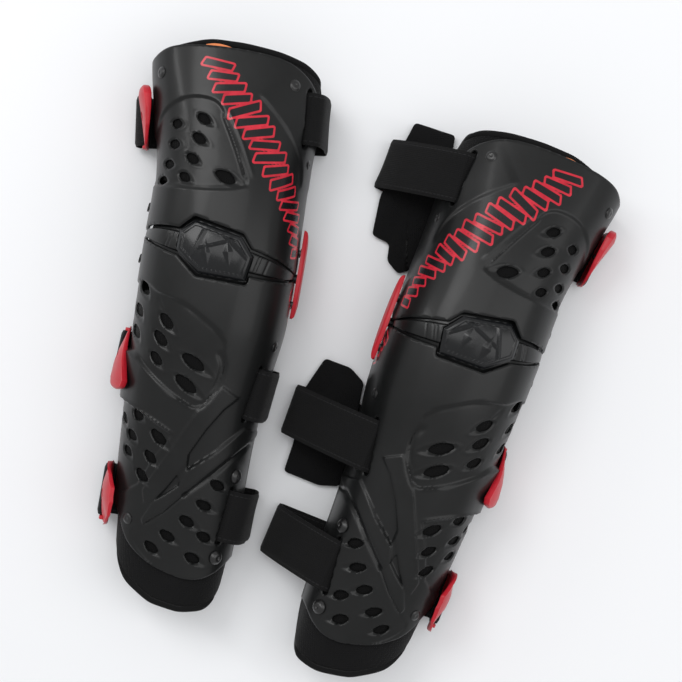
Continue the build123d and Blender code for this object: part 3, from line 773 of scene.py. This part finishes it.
# ------------------------------------------------------------------ knee plate and badge
# Reach to each side and height in front of the hinge axis: of the plate, and of its raised bar.
PLATE_SIZE = (62.5, 64.3)
BAR_SIZE = (66.2, 67.2)
BAR_ANGLE = math.radians(8.3)
KNEE = 64  # radius that turns an angle on the plate into mm


def swung(x, radius, angle):
    """Point at x, at a radius and an angle from the front towards the thigh, about the hinge."""
    return np.stack([x, radius * np.sin(angle), radius * np.cos(angle)], -1)


def bowl(x, radius, reach, most=0.9999):
    """Radius of a rounded arch across the knee, falling to the hinge at `reach`."""
    return radius * (1 - np.clip(np.abs(x) / reach, 0, most) ** NOSE) ** (1 / NOSE)


def knee_skin(x, angle, reach, crown):
    return swung(x, bowl(x, crown, reach), angle)


def plate_field(x, angle):
    """Positive on the knee plate: its oval, the bar round the knee and the two cheeks."""
    y = np.abs(knee_skin(x, angle, *PLATE_SIZE)[..., 1])
    oval = (1 - np.hypot(x / 53, y / 46)) * 46
    bar = (BAR_ANGLE - np.abs(angle)) * KNEE
    cheek = np.minimum(62.3 - np.abs(x), 13 - y)
    return np.maximum(np.maximum(oval, bar), cheek)


def knee_plate(guard):
    """The floating plate: an oval shield crossed by a raised bar, with a pocket for the badge."""
    nx, na = ((200, 150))
    xs = np.linspace(-65, 65, nx)
    an = np.radians(np.linspace(-45, 45, na))
    X, A = grid(xs, an)
    # points just outside the outline move on to it
    field = plate_field(X, A)
    span = KNEE * (an[1] - an[0])
    by_x, by_angle = np.gradient(field, xs[1] - xs[0], span)
    steep = np.maximum(np.hypot(by_x, by_angle), 0.3)
    keep = field / steep > -span
    out = np.where(keep, np.minimum(field, 0) / steep**2, 0)
    X, A = X - out * by_x, A - out * by_angle / KNEE
    low = knee_skin(X, A, *PLATE_SIZE)
    high = knee_skin(X, A, *BAR_SIZE)
    lift = smooth(BAR_ANGLE, math.radians(6.6), np.abs(A))
    P = low + (high - low) * lift[..., None]
    # fine pull lines either side of the badge, and a pocket round it
    y = high[..., 1]
    lines = sum(bell(X - at - 0.12 * y, 0.7) for at in (-41.5, -38.5, 35.5, 38.0, 43.5))
    pocket = smooth(-1.0, 0.6, inside_distance(X, y, BADGE))
    N = unit(P * [0.65, 1, 1] + (X - P[..., 0])[..., None] * [-0.35, 0, 0])
    P = P - N * (lines * 0.55 * lift + pocket * 2.4)[..., None]
    obj, _ = slab(f"{guard.side}_knee_plate", guard.local, P, P - N * 2.3, PLATE_MAT,
                  kept_faces(nx, na, keep), flip=guard.left, sharp=40)
    return obj


def badge(guard):
    """Seven-sided badge with a chamfered frame round a field of plain facets."""
    step = 0.42
    xs, ys = np.arange(-34.5, 33.01, step), np.arange(-22.5, 22.51, step)
    X, Y = grid(xs, ys)
    D = inside_distance(X, Y, BADGE)
    keep = D > -step * 1.1
    gx, gy = np.gradient(D, step)
    out = np.clip(0.02 - D, 0, step * 1.5)
    X, Y = X + gx * out, Y + gy * out
    D = inside_distance(X, Y, BADGE)
    r = bowl(X, 69.8, 66.5, 1)
    u, v = X * 0.94 + Y * 0.34, -X * 0.34 + Y * 0.94
    facets = np.max([1.5 - np.abs(np.abs(u - 2) - 9) * 0.35 - np.abs(v + 1) * 0.12,
                     1.3 - np.abs(u - v * 0.6 + 18) * 0.5, 1.2 - np.abs(u + v * 0.9 - 20) * 0.45,
                     (1.0 - np.abs(v - 6 - 0.15 * u) * 0.6) * (u > -14), 0 * u], axis=0)
    chamfer, well = np.minimum(D * 0.75, 1.5), smooth(3.6, 4.6, D) * -0.9
    front = np.sqrt(np.clip(r * r - Y * Y, 0, None)) - 1.5
    front = front + chamfer + well + facets * smooth(3.8, 5.0, D)
    back = np.maximum(np.minimum(front - 0.8, 64.6), np.sqrt(np.clip((r - 5) ** 2 - Y**2, 0, None)))
    top, low = np.stack([X, Y, front], -1), np.stack([X, Y, back], -1)
    obj, _ = slab(f"{guard.side}_badge", guard.local, top, low, BADGE_MAT,
                  kept_faces(len(xs), len(ys), keep), flip=not guard.left, sharp=24)
    return obj


for guard in GUARDS:
    fit(knee_plate(guard), guard, "patella", "patella_plate")
    fit(badge(guard), guard, "patella", "patella_badge")


# ------------------------------------------------------------------ liners
def liner_feet(guard, sides):
    """Heights, in the guard's own frame, at which the liner's two sides end over the floor."""
    clear = 3.4
    return [(clear - guard.height - x * math.sin(guard.roll)) / math.cos(guard.roll) for x in sides]


def liner(guard, name, end_at, start_y):
    """Foam-backed liner with rounded edges and soft channels, and the middle line of its far rim."""
    nv, nt = ((90, 130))
    face, back, rounding = 4.2, 13.2, 6.0
    vs = np.linspace(0, 1, nv)
    ts = np.linspace(-1, 1, nt)
    kernel = np.hanning(max(5, nt // 9))
    spare = len(kernel) // 2
    end = np.pad(np.interp(ts, *end_at), spare, mode="reflect", reflect_type="odd")
    end = np.convolve(end, kernel / kernel.sum(), "same")[spare:-spare]
    begin = start_y + np.sign(start_y) * -14.5 * smooth(0.56, 0.64, np.abs(ts))
    outer, inner = np.zeros((nv, nt, 3)), np.zeros((nv, nt, 3))
    rows = {}
    for i, v in enumerate(vs):
        for j, y in enumerate(begin + (end - begin) * v):
            key = round(float(y), 1)
            if key not in rows:
                mid, half, _, _ = (float(q) for q in station(key))
                feet = liner_feet(guard, (mid - half + 8, mid + half - 8))
                rows[key] = [arch_row(key, d, feet, ts)[:2] for d in (face, back)]
            (xo, zo), (xi, zi) = rows[key]
            outer[i, j] = (xo[j], y, zo[j])
            inner[i, j] = (xi[j], y, zi[j])
    total = np.abs(end - begin)[None]
    along = total * vs[:, None]
    near = np.minimum(np.minimum(along, total - along), (1 - np.abs(ts))[None] * 150)
    fat = 0.12 + 0.88 * rounded(near / rounding)
    channel = sum(bell((ts - t0) * 110, 2.6) for t0 in (-0.62, -0.3, 0.0, 0.3, 0.62))
    puff = 1 - 0.28 * np.clip(channel, 0, 1)[None]
    middle, half = (outer + inner) / 2, (outer - inner) / 2
    O, I = middle + half * fat[..., None], middle - half * (fat * puff)[..., None]
    obj, _ = slab(f"{guard.side}_{name}", guard.local, O, I, LINER_MAT,
                  flip=(start_y > 0) != guard.left)
    pts = np.concatenate([O.reshape(-1, 3), I.reshape(-1, 3)])
    outline = THIGH_OUTLINE if start_y > 0 else SHIN_OUTLINE
    # painted shade: the foam inside the shell's outline gets shade 1 and is painted near black, standing
    # in for the shell's shadow and the dark seen through the vents
    set_attribute(obj, "shade", smooth(0, 4, inside_distance(pts[:, 0], pts[:, 1], outline)))
    return outward(obj), middle[-1]


def ribbon(name, path, across, size, material, samples):
    """Flat strap along row points; `across` gives its width direction at each point."""
    width, thick = size
    per = max(2, samples // (len(path) - 1))
    pts, side = curve_through(path, per), curve_through(across, per)
    tangent = unit(np.gradient(pts, axis=0))
    side = unit(side - tangent * (side * tangent).sum(1, keepdims=True))
    normal = np.cross(tangent, side)
    us = np.linspace(-1, 1, 15)
    full = np.sqrt(np.clip(1 - (np.clip(np.abs(us) - 0.93, 0, None) / 0.07) ** 2, 0, 1))
    half = thick / 2 * np.maximum(full, 0.15)
    profile = np.c_[np.r_[us, us[::-1]] * width / 2, np.r_[half, -half]]
    V = pts[:, None] + side[:, None] * profile[None, :, :1] + normal[:, None] * profile[None, :, 1:]
    obj = make_mesh(name, V.reshape(-1, 3), tube_faces(len(pts), len(profile)), material, sharp=60)
    run = np.r_[0, np.cumsum(np.linalg.norm(np.diff(pts, axis=0), axis=1))]
    uv = np.stack(np.broadcast_arrays(run[:, None], profile[None, :, 0]), -1)
    set_uv(obj, uv.reshape(-1, 2))
    return outward(obj)


# Width and thickness, in metres.
BINDING_SIZE = (0.0125, 0.0045)
STRAP_SIZE = (0.044, 0.0023)
# Where the liners end, across the leg from its outer to its inner side.
THIGH_TOP = ([-1, -0.8, -0.6, -0.4, -0.2, 0.05, 0.3, 0.5, 0.7, 0.86, 1],
             [130, 139, 148, 158, 167.5, 172, 174, 173, 167, 155, 140])
SHIN_END = ([-1, -0.84, -0.66, -0.4, -0.1, 0.2, 0.45, 0.66, 0.84, 1],
            [-222, -240, -262, -284, -295, -296, -291, -281, -266, -240])
for guard in GUARDS:
    for part, end_at, start in (("thigh", THIGH_TOP, 46), ("shin", SHIN_END, -46)):
        obj, far_rim = liner(guard, part + "_liner_foam", end_at, start)
        fit(obj, guard, part, part + "_liner")
        world = guard.local(far_rim[2:-2:3])
        d = unit(np.gradient(world, axis=0))
        tape_across = guard.front - d * (guard.front * d).sum(1, keepdims=True)
        rim = ribbon(f"{guard.side}_{part}_liner_binding", world, tape_across, BINDING_SIZE,
                     BINDING_MAT, samples=len(world) * 4)
        fit(rim, guard, part)


# ------------------------------------------------------------------ knee gusset and pad
def lift(angle):
    """How far the gusset stands out under the shells, past the edge of the plate."""
    return 10.5 * smooth(math.radians(39), math.radians(43), np.abs(angle))


def folds(angle):
    """Small folds across the gusset's two ends."""
    return 0.5 * np.sin(angle * 34) * bell(np.abs(angle) - 0.9, 0.25)


PAD_REACH, PAD_ANGLE = 49, math.radians(37.5)
for guard in GUARDS:
    X, A = grid(np.linspace(-46, 46, 40), np.radians(np.linspace(-62, 62, 90)))
    top, low = (swung(X, bowl(X, radius, reach, 0.995) + lift(A) + folds(A), A)
                for radius, reach in ((49.6, 50.5), (47.6, 49.0)))
    gusset, _ = slab(guard.side + "_knee_gusset", guard.local, top, low, JERSEY_MAT)
    outward(gusset)
    start, end = guard.local([0, -30, 0]), guard.local([0, 30, 0])
    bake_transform(gusset)

    X, A = grid(np.linspace(-PAD_REACH, PAD_REACH, 50), np.linspace(-PAD_ANGLE, PAD_ANGLE, 50))
    e = np.hypot(X / PAD_REACH, A / PAD_ANGLE)
    shrink = 1 / np.maximum(e, 1)
    X, A, e = X * shrink, A * shrink, np.minimum(e, 1)
    fat = np.sqrt(1 - e**5) * (1 - 0.3 * bell(e - 0.55, 0.05)) * 4.1 + 0.05
    crest = bowl(X, 54.9, 57.5)
    pad, _ = slab(guard.side + "_knee_cushion", guard.local, swung(X, crest + fat, A),
                  swung(X, crest - fat, A), LINER_MAT, rim=False)
    outward(pad, 0.0002)
    fit(pad, guard, "patella", "knee_pad")

# ------------------------------------------------------------------ wings
# Corners of each wing as it lies: (across, along) from the hinge's middle.
WINGS = {
    "left": {"thigh": [(-45, 72), (30, 72), (24, 165), (-50, 165)],
             "calf": [(-20, -48), (50, -48), (52, -152), (-18, -152)]},
    "right": {"thigh": [(88, 158), (83, 177), (46, 174), (42, 120), (50, 84), (58, 49), (67, 44),
                        (79, 53), (80.5, 68), (97, 72), (98, 106)],
              "calf": [(124.6, -76), (112, -43), (88, -46), (74, -56), (72, -119), (74, -150),
                       (92, -153), (124.5, -148), (122, -121)]},
}
WING_BEND = {"left": 9, "right": 3.5}
WING_MIDDLE = 5.1  # height of the wings' middle over the floor
WING_HALF = 2.1  # half their thickness


def rounded_loop(corners, bend):
    """A closed outline with its corners rounded and its sides divided."""
    loop = []
    for k, b in enumerate(corners):
        a, c = corners[k - 1], corners[(k + 1) % len(corners)]
        p0, p1 = b + unit(a - b) * bend, b + unit(c - b) * bend
        loop += [(1 - t) ** 2 * p0 + 2 * t * (1 - t) * b + t * t * p1 for t in np.linspace(0, 1, 9)]
        following = c + unit(b - c) * 9
        loop += [p1 + (following - p1) * t for t in np.linspace(0, 1, 12)[1:-1]]
    return np.array(loop)


for guard in GUARDS:
    for part, body in (("thigh", "thigh"), ("calf", "shin")):
        corners = np.array(WINGS[guard.side][part], float)
        loop, mid = rounded_loop(corners, WING_BEND[guard.side]), corners.mean(0)
        rings = np.array([0, .25, .5, .68, .8, .88, .93, .965, .985, 1.0])
        fat = WING_HALF * np.sqrt(np.clip(1 - rings**9, 0.003, 1))
        fat = (fat * (1 - 0.35 * bell(rings - .9, .025)))[:, None]
        flat = mid + (loop[None] - mid) * rings[:, None, None]
        wave = 0.35 * np.sin(flat[..., 0] * 0.19 + flat[..., 1] * 0.11)
        top = np.concatenate([flat, (WING_MIDDLE + wave + fat)[..., None]], -1)
        low = np.concatenate([flat, (WING_MIDDLE + wave * 0.6 - fat)[..., None]], -1)
        wing, _ = slab(f"{guard.side}_{part}_wing_pad", guard.ground, top, low, LINER_MAT,
                       grid_faces(len(rings), len(loop), wrap=True), rim=False)
        outward(wing, 0.00015)
        fit(wing, guard, body, part + "_wing")

# ------------------------------------------------------------------ straps
LYING = 1.35  # height of a strap's middle where it lies on the floor
FLOOR_GAP = 0.0002
KNUCKLES = {"left": {"thigh": 46, "upper": 50, "lower": 40},
            "right": {"thigh": 14, "upper": 14, "lower": 14}}  # height of each strap's outer fold
STRAP_OF = {"thigh": ("thigh_strap", "thigh"), "upper": ("upper_calf_strap", "shin"),
            "lower": ("lower_calf_strap", "shin")}


def strap_path(guard, name):
    """(point, width direction) along a strap: slot, outer fold, floor, and the loop on the clip's bar.

    Both are (across, along, height over the floor).
    """
    (sx, sy, _), (cx, cy, turn) = SLOTS[name], CLIPS[name]
    fold = np.array([*FOLDS[guard.side][name], 0.0])
    knuckle = KNUCKLES[guard.side][name]
    cr, sr = math.cos(guard.roll), math.sin(guard.roll)
    ct, st = cos_sin(turn)

    def rolled(x, y, z):
        return np.array([x * cr - z * sr, y, guard.height + x * sr + z * cr])

    def beside(o, up):
        """A point out from the wall at a height in the section, kept above the floor."""
        x, y, z = rolled(cx - ct * o, cy - st * o, up)
        return np.array([x, y, max(z, LYING)])

    def at(point, way, distance, height):
        return point + way * distance + [0, 0, height]

    slot = rolled(sx, sy, float(skin(sx, sy)))
    end = rolled(cx - 3.2, cy, -20.6)
    out, way = unit((fold - slot) * [1, 1, 0]), unit((fold - end) * [1, 1, 0])
    side_a, side_b = np.array([-out[1], out[0], 0]), np.array([-way[1], way[0], 0])
    side_c = np.array([-st, ct, 0])
    span, fall = np.linalg.norm((fold - slot)[:2]), knuckle - slot[2]
    top = [at(slot, out, -9, -3.5), at(slot, out, -1.5, -0.2), at(slot, out, 4, 0.6)]
    if guard.left:
        top += [at(slot, out, span * 0.75, fall * 0.35), at(fold, out, 0, knuckle * 0.86),
                at(fold, out, 0.5, knuckle * 0.5)]
    else:
        top += [at(slot, out, span * 0.38, fall * 0.30 + 2.5),
                at(slot, out, span * 0.76, fall * 0.70 + 2.0), at(fold, out, -1.2, knuckle + 1.0)]
    base = [at(fold, out, 0.4, 7.5), at(fold, way, -2.2, 2.6), at(fold, way, -8, LYING),
            at(fold, end * [1, 1, 0] - fold, 0.45, LYING)]
    floor_up = -(guard.height + (cx - ct * 6) * sr) / cr
    stand = 1.0 if guard.left and name == "thigh" else 0.25
    loop = [(4 * stand, floor_up), (8.5 + 4 * stand, floor_up + 1.5),
            (10 + 5.8 * stand, max(floor_up + 5, -25)), (9.8 + 4.4 * stand, -19.2),
            (9.2 + 2 * stand, -15.2), (8.4, -13.0), (6.2, -11.95), (4.1, -12.8), (3.1, -15),
            (4.2, -17.2), (6.4, -18.1), (8.6, -18.4)]
    return ([(p, side_a) for p in top] + [(p, side_b) for p in base]
            + [(beside(-34, floor_up), side_b + side_c), (beside(-12, floor_up), side_c)]
            + [(beside(*p), side_c) for p in loop])


for guard in GUARDS:
    for name, (node, body) in STRAP_OF.items():
        path = strap_path(guard, name)
        points = [guard.ground(p) for p, _ in path]
        widths = [guard.ground(v) - guard.ground([0, 0, 0]) for _, v in path]
        obj = ribbon(f"{guard.side}_{node}_webbing", points, unit(widths), STRAP_SIZE, WEBBING_MAT,
                     samples=190)
        for vertex in obj.data.vertices:
            vertex.co.z = max(vertex.co.z, FLOOR_GAP)
        fit(obj, guard, body, node)

# ------------------------------------------------------------------ clips
# A clip's section is (out from the wall, up); its wall side, and its free side before scaling.
INNER_LINE = [(3.2, -8.6), (2.6, 0), (1.0, 10), (-1.2, 20), (-2.4, 25)]
OUTER_LINE = [(9.4, -8.6), (9.0, 0), (7.4, 10), (4.4, 20), (1.2, 26.5)]
# At places along the leg: how thick and how tall each clip is.
CLIP_SHAPES = {
    "thigh": ([-27, -20, -8, 6, 18, 27], [0.35, 0.5, 0.75, 1.1, 1.45, 1.3],
              [0.6, 0.75, 0.92, 1.0, 1.0, 0.8]),
    "upper": ([-27, -18, -6, 6, 16, 27], [1.2, 1.35, 1.2, 0.9, 0.55, 0.25],
              [1.25, 1.35, 1.2, 1.0, 0.75, 0.45]),
    "lower": ([-27, -16, -4, 8, 18, 27], [0.2, 0.6, 0.9, 0.95, 0.7, 0.25],
              [0.7, 1.0, 1.12, 1.12, 0.95, 0.6]),
}
HUG = {"thigh": 0.0, "upper": 1.5, "lower": 4.5}  # how far the lower end leans to the shell
CLIP_FOOT = -8.6
CLIP_HOLE = 10  # height of the hole, and of the stud in it
BAR_AT = (6.2, -15)


def section_points(guard, name, points):
    """(out from the wall, up, along the leg) at a clip, mm, to row metres."""
    x, y, turn = CLIPS[name]
    c, s = cos_sin(turn)
    out, up, along = np.moveaxis(np.asarray(points, float), -1, 0)
    return guard.local(np.stack([x - c * out - s * along, y - s * out + c * along, up], -1))


def prism(name, place, outline, low, high, material, bevel):
    """A plate with the given outline between two distances, its edges rounded."""
    n = len(outline)
    pts = [(*p, low) for p in outline] + [(*p, high) for p in outline]
    obj = outward(make_mesh(name, place(pts), tube_faces(2, n), material, sharp=35))
    modifier = obj.modifiers.new("edges", "BEVEL")
    modifier.width = bevel
    modifier.segments = 3
    modifier.limit_method = "ANGLE"
    return settle(obj)


def join(objects):
    """Several meshes as one object, named for the first."""
    bm = bmesh.new()
    for o in objects:
        bm.from_mesh(o.data)
    bm.to_mesh(objects[0].data)
    bm.free()
    for o in objects[1:]:
        bpy.data.objects.remove(o)
    objects[0].data.shade_smooth()
    objects[0].data.set_sharp_from_angle(angle=math.radians(45))
    return objects[0]


def inset(name, up):
    """How far the shell's side has turned in at a height over the guard's base plane."""
    _, half, crown, base = (float(q) for q in station(CLIPS[name][1]))
    level = np.clip((up - base) / (crown - base), 0, 0.98)
    return half * (1 - (1 - level**NOSE) ** (1 / NOSE))


def cut_round(obj, centre, axis, radius, depth):
    """A round hole with clean edges, by an exact boolean."""
    bpy.ops.mesh.primitive_cylinder_add(vertices=40, radius=radius, depth=depth, location=centre)
    tool = bpy.context.object
    tool.rotation_euler = Vector(axis).to_track_quat("Z", "Y").to_euler()
    bpy.context.view_layer.update()
    modifier = obj.modifiers.new("hole", "BOOLEAN")
    modifier.operation = "DIFFERENCE"
    modifier.solver = "EXACT"
    modifier.object = tool
    settle(obj)
    bpy.data.objects.remove(tool)


def clip_section(name, v):
    """A clip's section at v along the leg."""
    stops, thickness, tall = CLIP_SHAPES[name]
    w, h = np.interp(v, stops, thickness), np.interp(v, stops, tall)
    tip = math.sqrt(max(0.02, 1 - (max(0, abs(v) - 22) / 5.2) ** 2))
    inner, outer = curve_through(INNER_LINE, 6), curve_through(OUTER_LINE, 6)
    low_share = smooth(4, -6, outer[:, 1])[:, None] * smooth(0.5, 1.0, w)
    wider = inner + (outer - inner) * w
    outer = wider + (outer - wider) * np.clip(low_share, 0, 1) * (w > 1)
    middle = (inner + outer) / 2
    section, middle = np.concatenate([inner, outer[::-1]]), np.concatenate([middle, middle[::-1]])
    section = middle + (section - middle) * tip
    up = CLIP_FOOT + (section[:, 1] - CLIP_FOOT) * (h * (0.55 + 0.45 * tip))
    section[:, 0] += inset(name, section[:, 1]) - inset(name, up)
    section[:, 0] -= HUG[name] * smooth(4, -27, v) * np.clip((up - CLIP_FOOT) / 14, 0, 1)
    section[:, 1] = up
    section = curve_through(section, 2, closed=True)
    return np.c_[section, np.full(len(section), v)]


def circle(radius, start, end, count):
    """Points of an arc round the clip's bar."""
    return [(BAR_AT[0] + radius * math.cos(t), BAR_AT[1] + radius * math.sin(t))
            for t in np.linspace(start, end, count)]


def clip(guard, name, node):
    """A clip: a tab with a round hole, and two cheeks that hold the bar its strap runs on."""
    def place(points):
        return section_points(guard, name, points)

    G = np.array([clip_section(name, v) for v in np.linspace(-27, 27, 55)])
    label = f"{guard.side}_{node}"
    tab = outward(make_mesh(label + "_tab", place(G.reshape(-1, 3)), tube_faces(*G.shape[:2]), RED_MAT,
                            sharp=50))
    c, s = cos_sin(CLIPS[name][2])
    axis = np.array([-c, -s, 0]) @ guard.axes
    cut_round(tab, place([4, CLIP_HOLE, 0]), axis, 0.0042, 0.05)
    cheek = circle(2.7, math.pi, 2 * math.pi, 13) + [(8.6, -11), (7.4, -7), (4.2, -7), (3.7, -11)]
    parts = [prism(label + "_cheek", place, cheek, *ends, RED_MAT, 0.0006)
             for ends in ((-25.2, -25.2 + 2.8), (22.4, 22.4 + 2.8))]
    bar = circle(1.85, 0, 2 * math.pi, 25)[:-1]
    parts.append(prism(label + "_bar", place, bar, -24, 24, RED_MAT, 0.0002))
    return join([tab] + parts)


for guard in GUARDS:
    for name, (strap, _) in STRAP_OF.items():
        node = strap.replace("strap", "clip")
        fit(clip(guard, name, node), guard, node + "_swing", node)


# ------------------------------------------------------------------ studs, rivets, cover, tag
def turned(name, profile, sides, places):
    """Round parts from one (radius, height) profile, one at each (origin, a, b, axis) in row metres."""
    turn = np.linspace(0, 2 * math.pi, sides + 1)[:-1]
    pts, faces = [], []
    for origin, a, b, axis in places:
        faces += grid_faces(len(profile), sides, wrap=True, start=len(pts))
        pts += [origin + (a * r * math.cos(t) + b * r * math.sin(t) + axis * h)
                for r, h in profile for t in turn]
    return outward(make_mesh(name, pts, faces, RIVET_MAT, sharp=55), 0.00002)


def studs(guard, name, clips):
    """Waisted studs that the clips' holes snap over, each with a small domed head."""
    profile = [(0, 5.9), (1.2, 5.85), (2.2, 5.5), (2.8, 4.9), (2.85, 4.3), (2.3, 3.8), (1.9, 3.2),
               (1.9, 0.4), (2.6, -0.9), (0, -0.9)]
    places = []
    for clip_name in clips:
        origin, out, up, along = section_points(guard, clip_name, [
            (0, CLIP_HOLE, 0), (1, CLIP_HOLE, 0), (0, CLIP_HOLE + 1, 0), (0, CLIP_HOLE, 1)])
        places.append((origin, up - origin, along - origin, out - origin))
    return turned(name, profile, 24, places)


def button(guard, name, spots, radius, rise):
    """Round-headed rivets: a flange, a dome and a shallow dimple."""
    head = [(0, 0.82), (0.16, 0.84), (0.26, 1), (0.55, 0.93), (0.8, 0.66), (0.9, 0.38), (0.98, 0.3)]
    profile = [(radius * r, rise * h) for r, h in head]
    profile += [(radius, 0.12), (radius * 0.99, -0.5), (2.2, -0.6), (2.2, -3.5), (0, -3.5)]
    places = []
    for x, y in spots:
        gx, gy = skin_slope(x, y, 0.5)
        n = unit([-gx, -gy, 1.0])
        a = unit(np.cross([0, 1.0, 0], n))
        frame_at = guard.local([(x, y, float(skin(x, y)))] * 4 + np.array([n * 0, a, np.cross(n, a), n]))
        places.append((frame_at[0], *(frame_at[1:] - frame_at[0])))
    return turned(name, profile, 32, places)


def hinge_lens(guard):
    """Red leaf-shaped cover over the inner hinge, with a low rib along it."""
    ys = np.linspace(-34, 42, 70)
    high, low = (np.interp(ys, *curve_through(line, 12).T)[:, None]
                 for line in ([(-34, 2), (-18, 8.6), (4, 11), (26, 9.0), (42, 3)],
                              [(-34, 2), (-20, -5.0), (2, -7.5), (28, -4.5), (42, 3)]))
    Y, U = grid(ys, np.linspace(-1, 1, 25))
    half = (high - low) / 2
    Z = (high + low) / 2 + half * U
    edge = np.minimum((1 - np.abs(U)) * half, np.minimum(Y + 34, 42 - Y))
    rise = 3.4 * rounded(edge / 5.5) + 0.4 + 0.5 * bell(U - 0.15, 0.1) * smooth(2, 6, edge)
    middle, side = station(np.where(Y > 0, Y * 0.84, Y))[:2]
    base = middle + side + 1.1
    obj, _ = slab(guard.side + "_hinge_lens", guard.local, np.stack([base + 1.5 + rise * 0.8, Y, Z], -1),
                  np.stack([base, Y, Z], -1), RED_MAT, sharp=50)
    return outward(obj, 0.00005)


def loop_tag(guard):
    """Blank woven loop tag on the lining's top edge."""
    x, y, depth = -49.0, 162.1, 3.45
    U, V = grid(np.linspace(-10.5, 10.5, 26), np.linspace(-5.05, 5.05, 10))
    gx, gy = skin_slope(x, y, 1, depth)
    V2 = V + 0.13 * U - 0.012 * U**2
    Z = float(skin(x, y, depth)) + gx * U + gy * V2 + 0.3 - U**2 * 0.0075 + 0.1 * np.sin(V * 0.5)
    T = np.stack([x + U, y + V2, Z], -1)
    obj, _ = slab(guard.side + "_loop_tag", guard.local, T, T - [0, 0, 0.45], ORANGE_MAT, sharp=60)
    return outward(obj)


for guard in GUARDS:
    fit(hinge_lens(guard), guard, "patella", "hinge_cover")
    for node, body, spots, radius, rise in (
        ("thigh_rivets", "thigh", [(21, 153), (49, 95), (-90, 132)], 5.0, 1.6),
        ("shin_rivets", "shin", [(68, -61), (-8, -234)], 4.8, 1.5),
        ("shin_dome_rivets", "shin", [(68.5, -174.5), (72, -245)], 6.2, 3.6),
    ):
        obj = button(guard, f"{guard.side}_{node}_heads", spots, radius, rise)
        fit(obj, guard, body, node)
    tag = loop_tag(guard)
    fit(tag, guard, "thigh", "size_tag")
    for node, body, clips in (("thigh_clip_post", "thigh", ["thigh"]),
                              ("calf_clip_posts", "shin", ["upper", "lower"])):
        fit(studs(guard, f"{guard.side}_{node}_studs", clips), guard, body, node)
    # the hinge hardware keeps its CAD shape
    for node, material in (("thigh_hinge_arms", STEEL_MAT), ("shin_hinge_arms", STEEL_MAT),
                           ("thigh_hinge_screws", RIVET_MAT), ("shin_hinge_screws", RIVET_MAT),
                           ("pivot_pins", STEEL_MAT)):
        obj = frame["nodes"][f"{guard.side}_{node}"]
        obj.data.materials.clear()
        obj.data.materials.append(material)

# ------------------------------------------------------------------ floor, light, camera
n = Nodes("floor_paper")
tone = n.ramp(n.noise(1.2, 2.0), 0.2, 0.8, (0.80, 0.81, 0.83), (0.83, 0.84, 0.86))
paper = n.finish(Base_Color=tone, Roughness=0.9)
floor = make_mesh("floor", [(-6, -6, 0), (6, -6, 0), (6, 6, 0), (-6, 6, 0)], [(0, 1, 2, 3)], paper)
floor.location.z = -0.0003


def softbox(name, place, size, power):
    """A soft light that points at the guards."""
    light = bpy.data.lights.new(name, "AREA")
    light.shape = "RECTANGLE"
    light.size, light.size_y = size
    light.energy = power
    obj = bpy.data.objects.new(name, light)
    obj.location = place
    obj.rotation_euler = (-Vector(place)).to_track_quat("-Z", "Y").to_euler()
    bpy.context.scene.collection.objects.link(obj)


softbox("key", (-0.9, 1.1, 2.0), (1.0, 1.0), 17)
softbox("strip", (-1.5, 0.9, 0.9), (0.10, 0.7), 3)
softbox("fill", (1.4, -0.2, 1.6), (1.2, 1.6), 10)
softbox("top", (0.15, 0.5, 2.6), (1.6, 1.2), 13)
world = bpy.data.worlds.new("studio")
world.use_nodes = True
world.node_tree.nodes["Background"].inputs[0].default_value = (1, 1, 1, 1)
world.node_tree.nodes["Background"].inputs[1].default_value = 0.62
bpy.context.scene.world = world

# 1.3 m straight above the middle of the photograph
camera_data = bpy.data.cameras.new("camera")
camera_data.lens = 77.7
camera_data.sensor_width = 36
camera = bpy.data.objects.new("camera", camera_data)
camera.location = (GUARDS[0].origin[0] + 0.103, GUARDS[0].origin[1] - 0.0728, 1.3)
bpy.context.scene.collection.objects.link(camera)
bpy.context.scene.camera = camera
bpy.context.scene.view_settings.view_transform = "Standard"
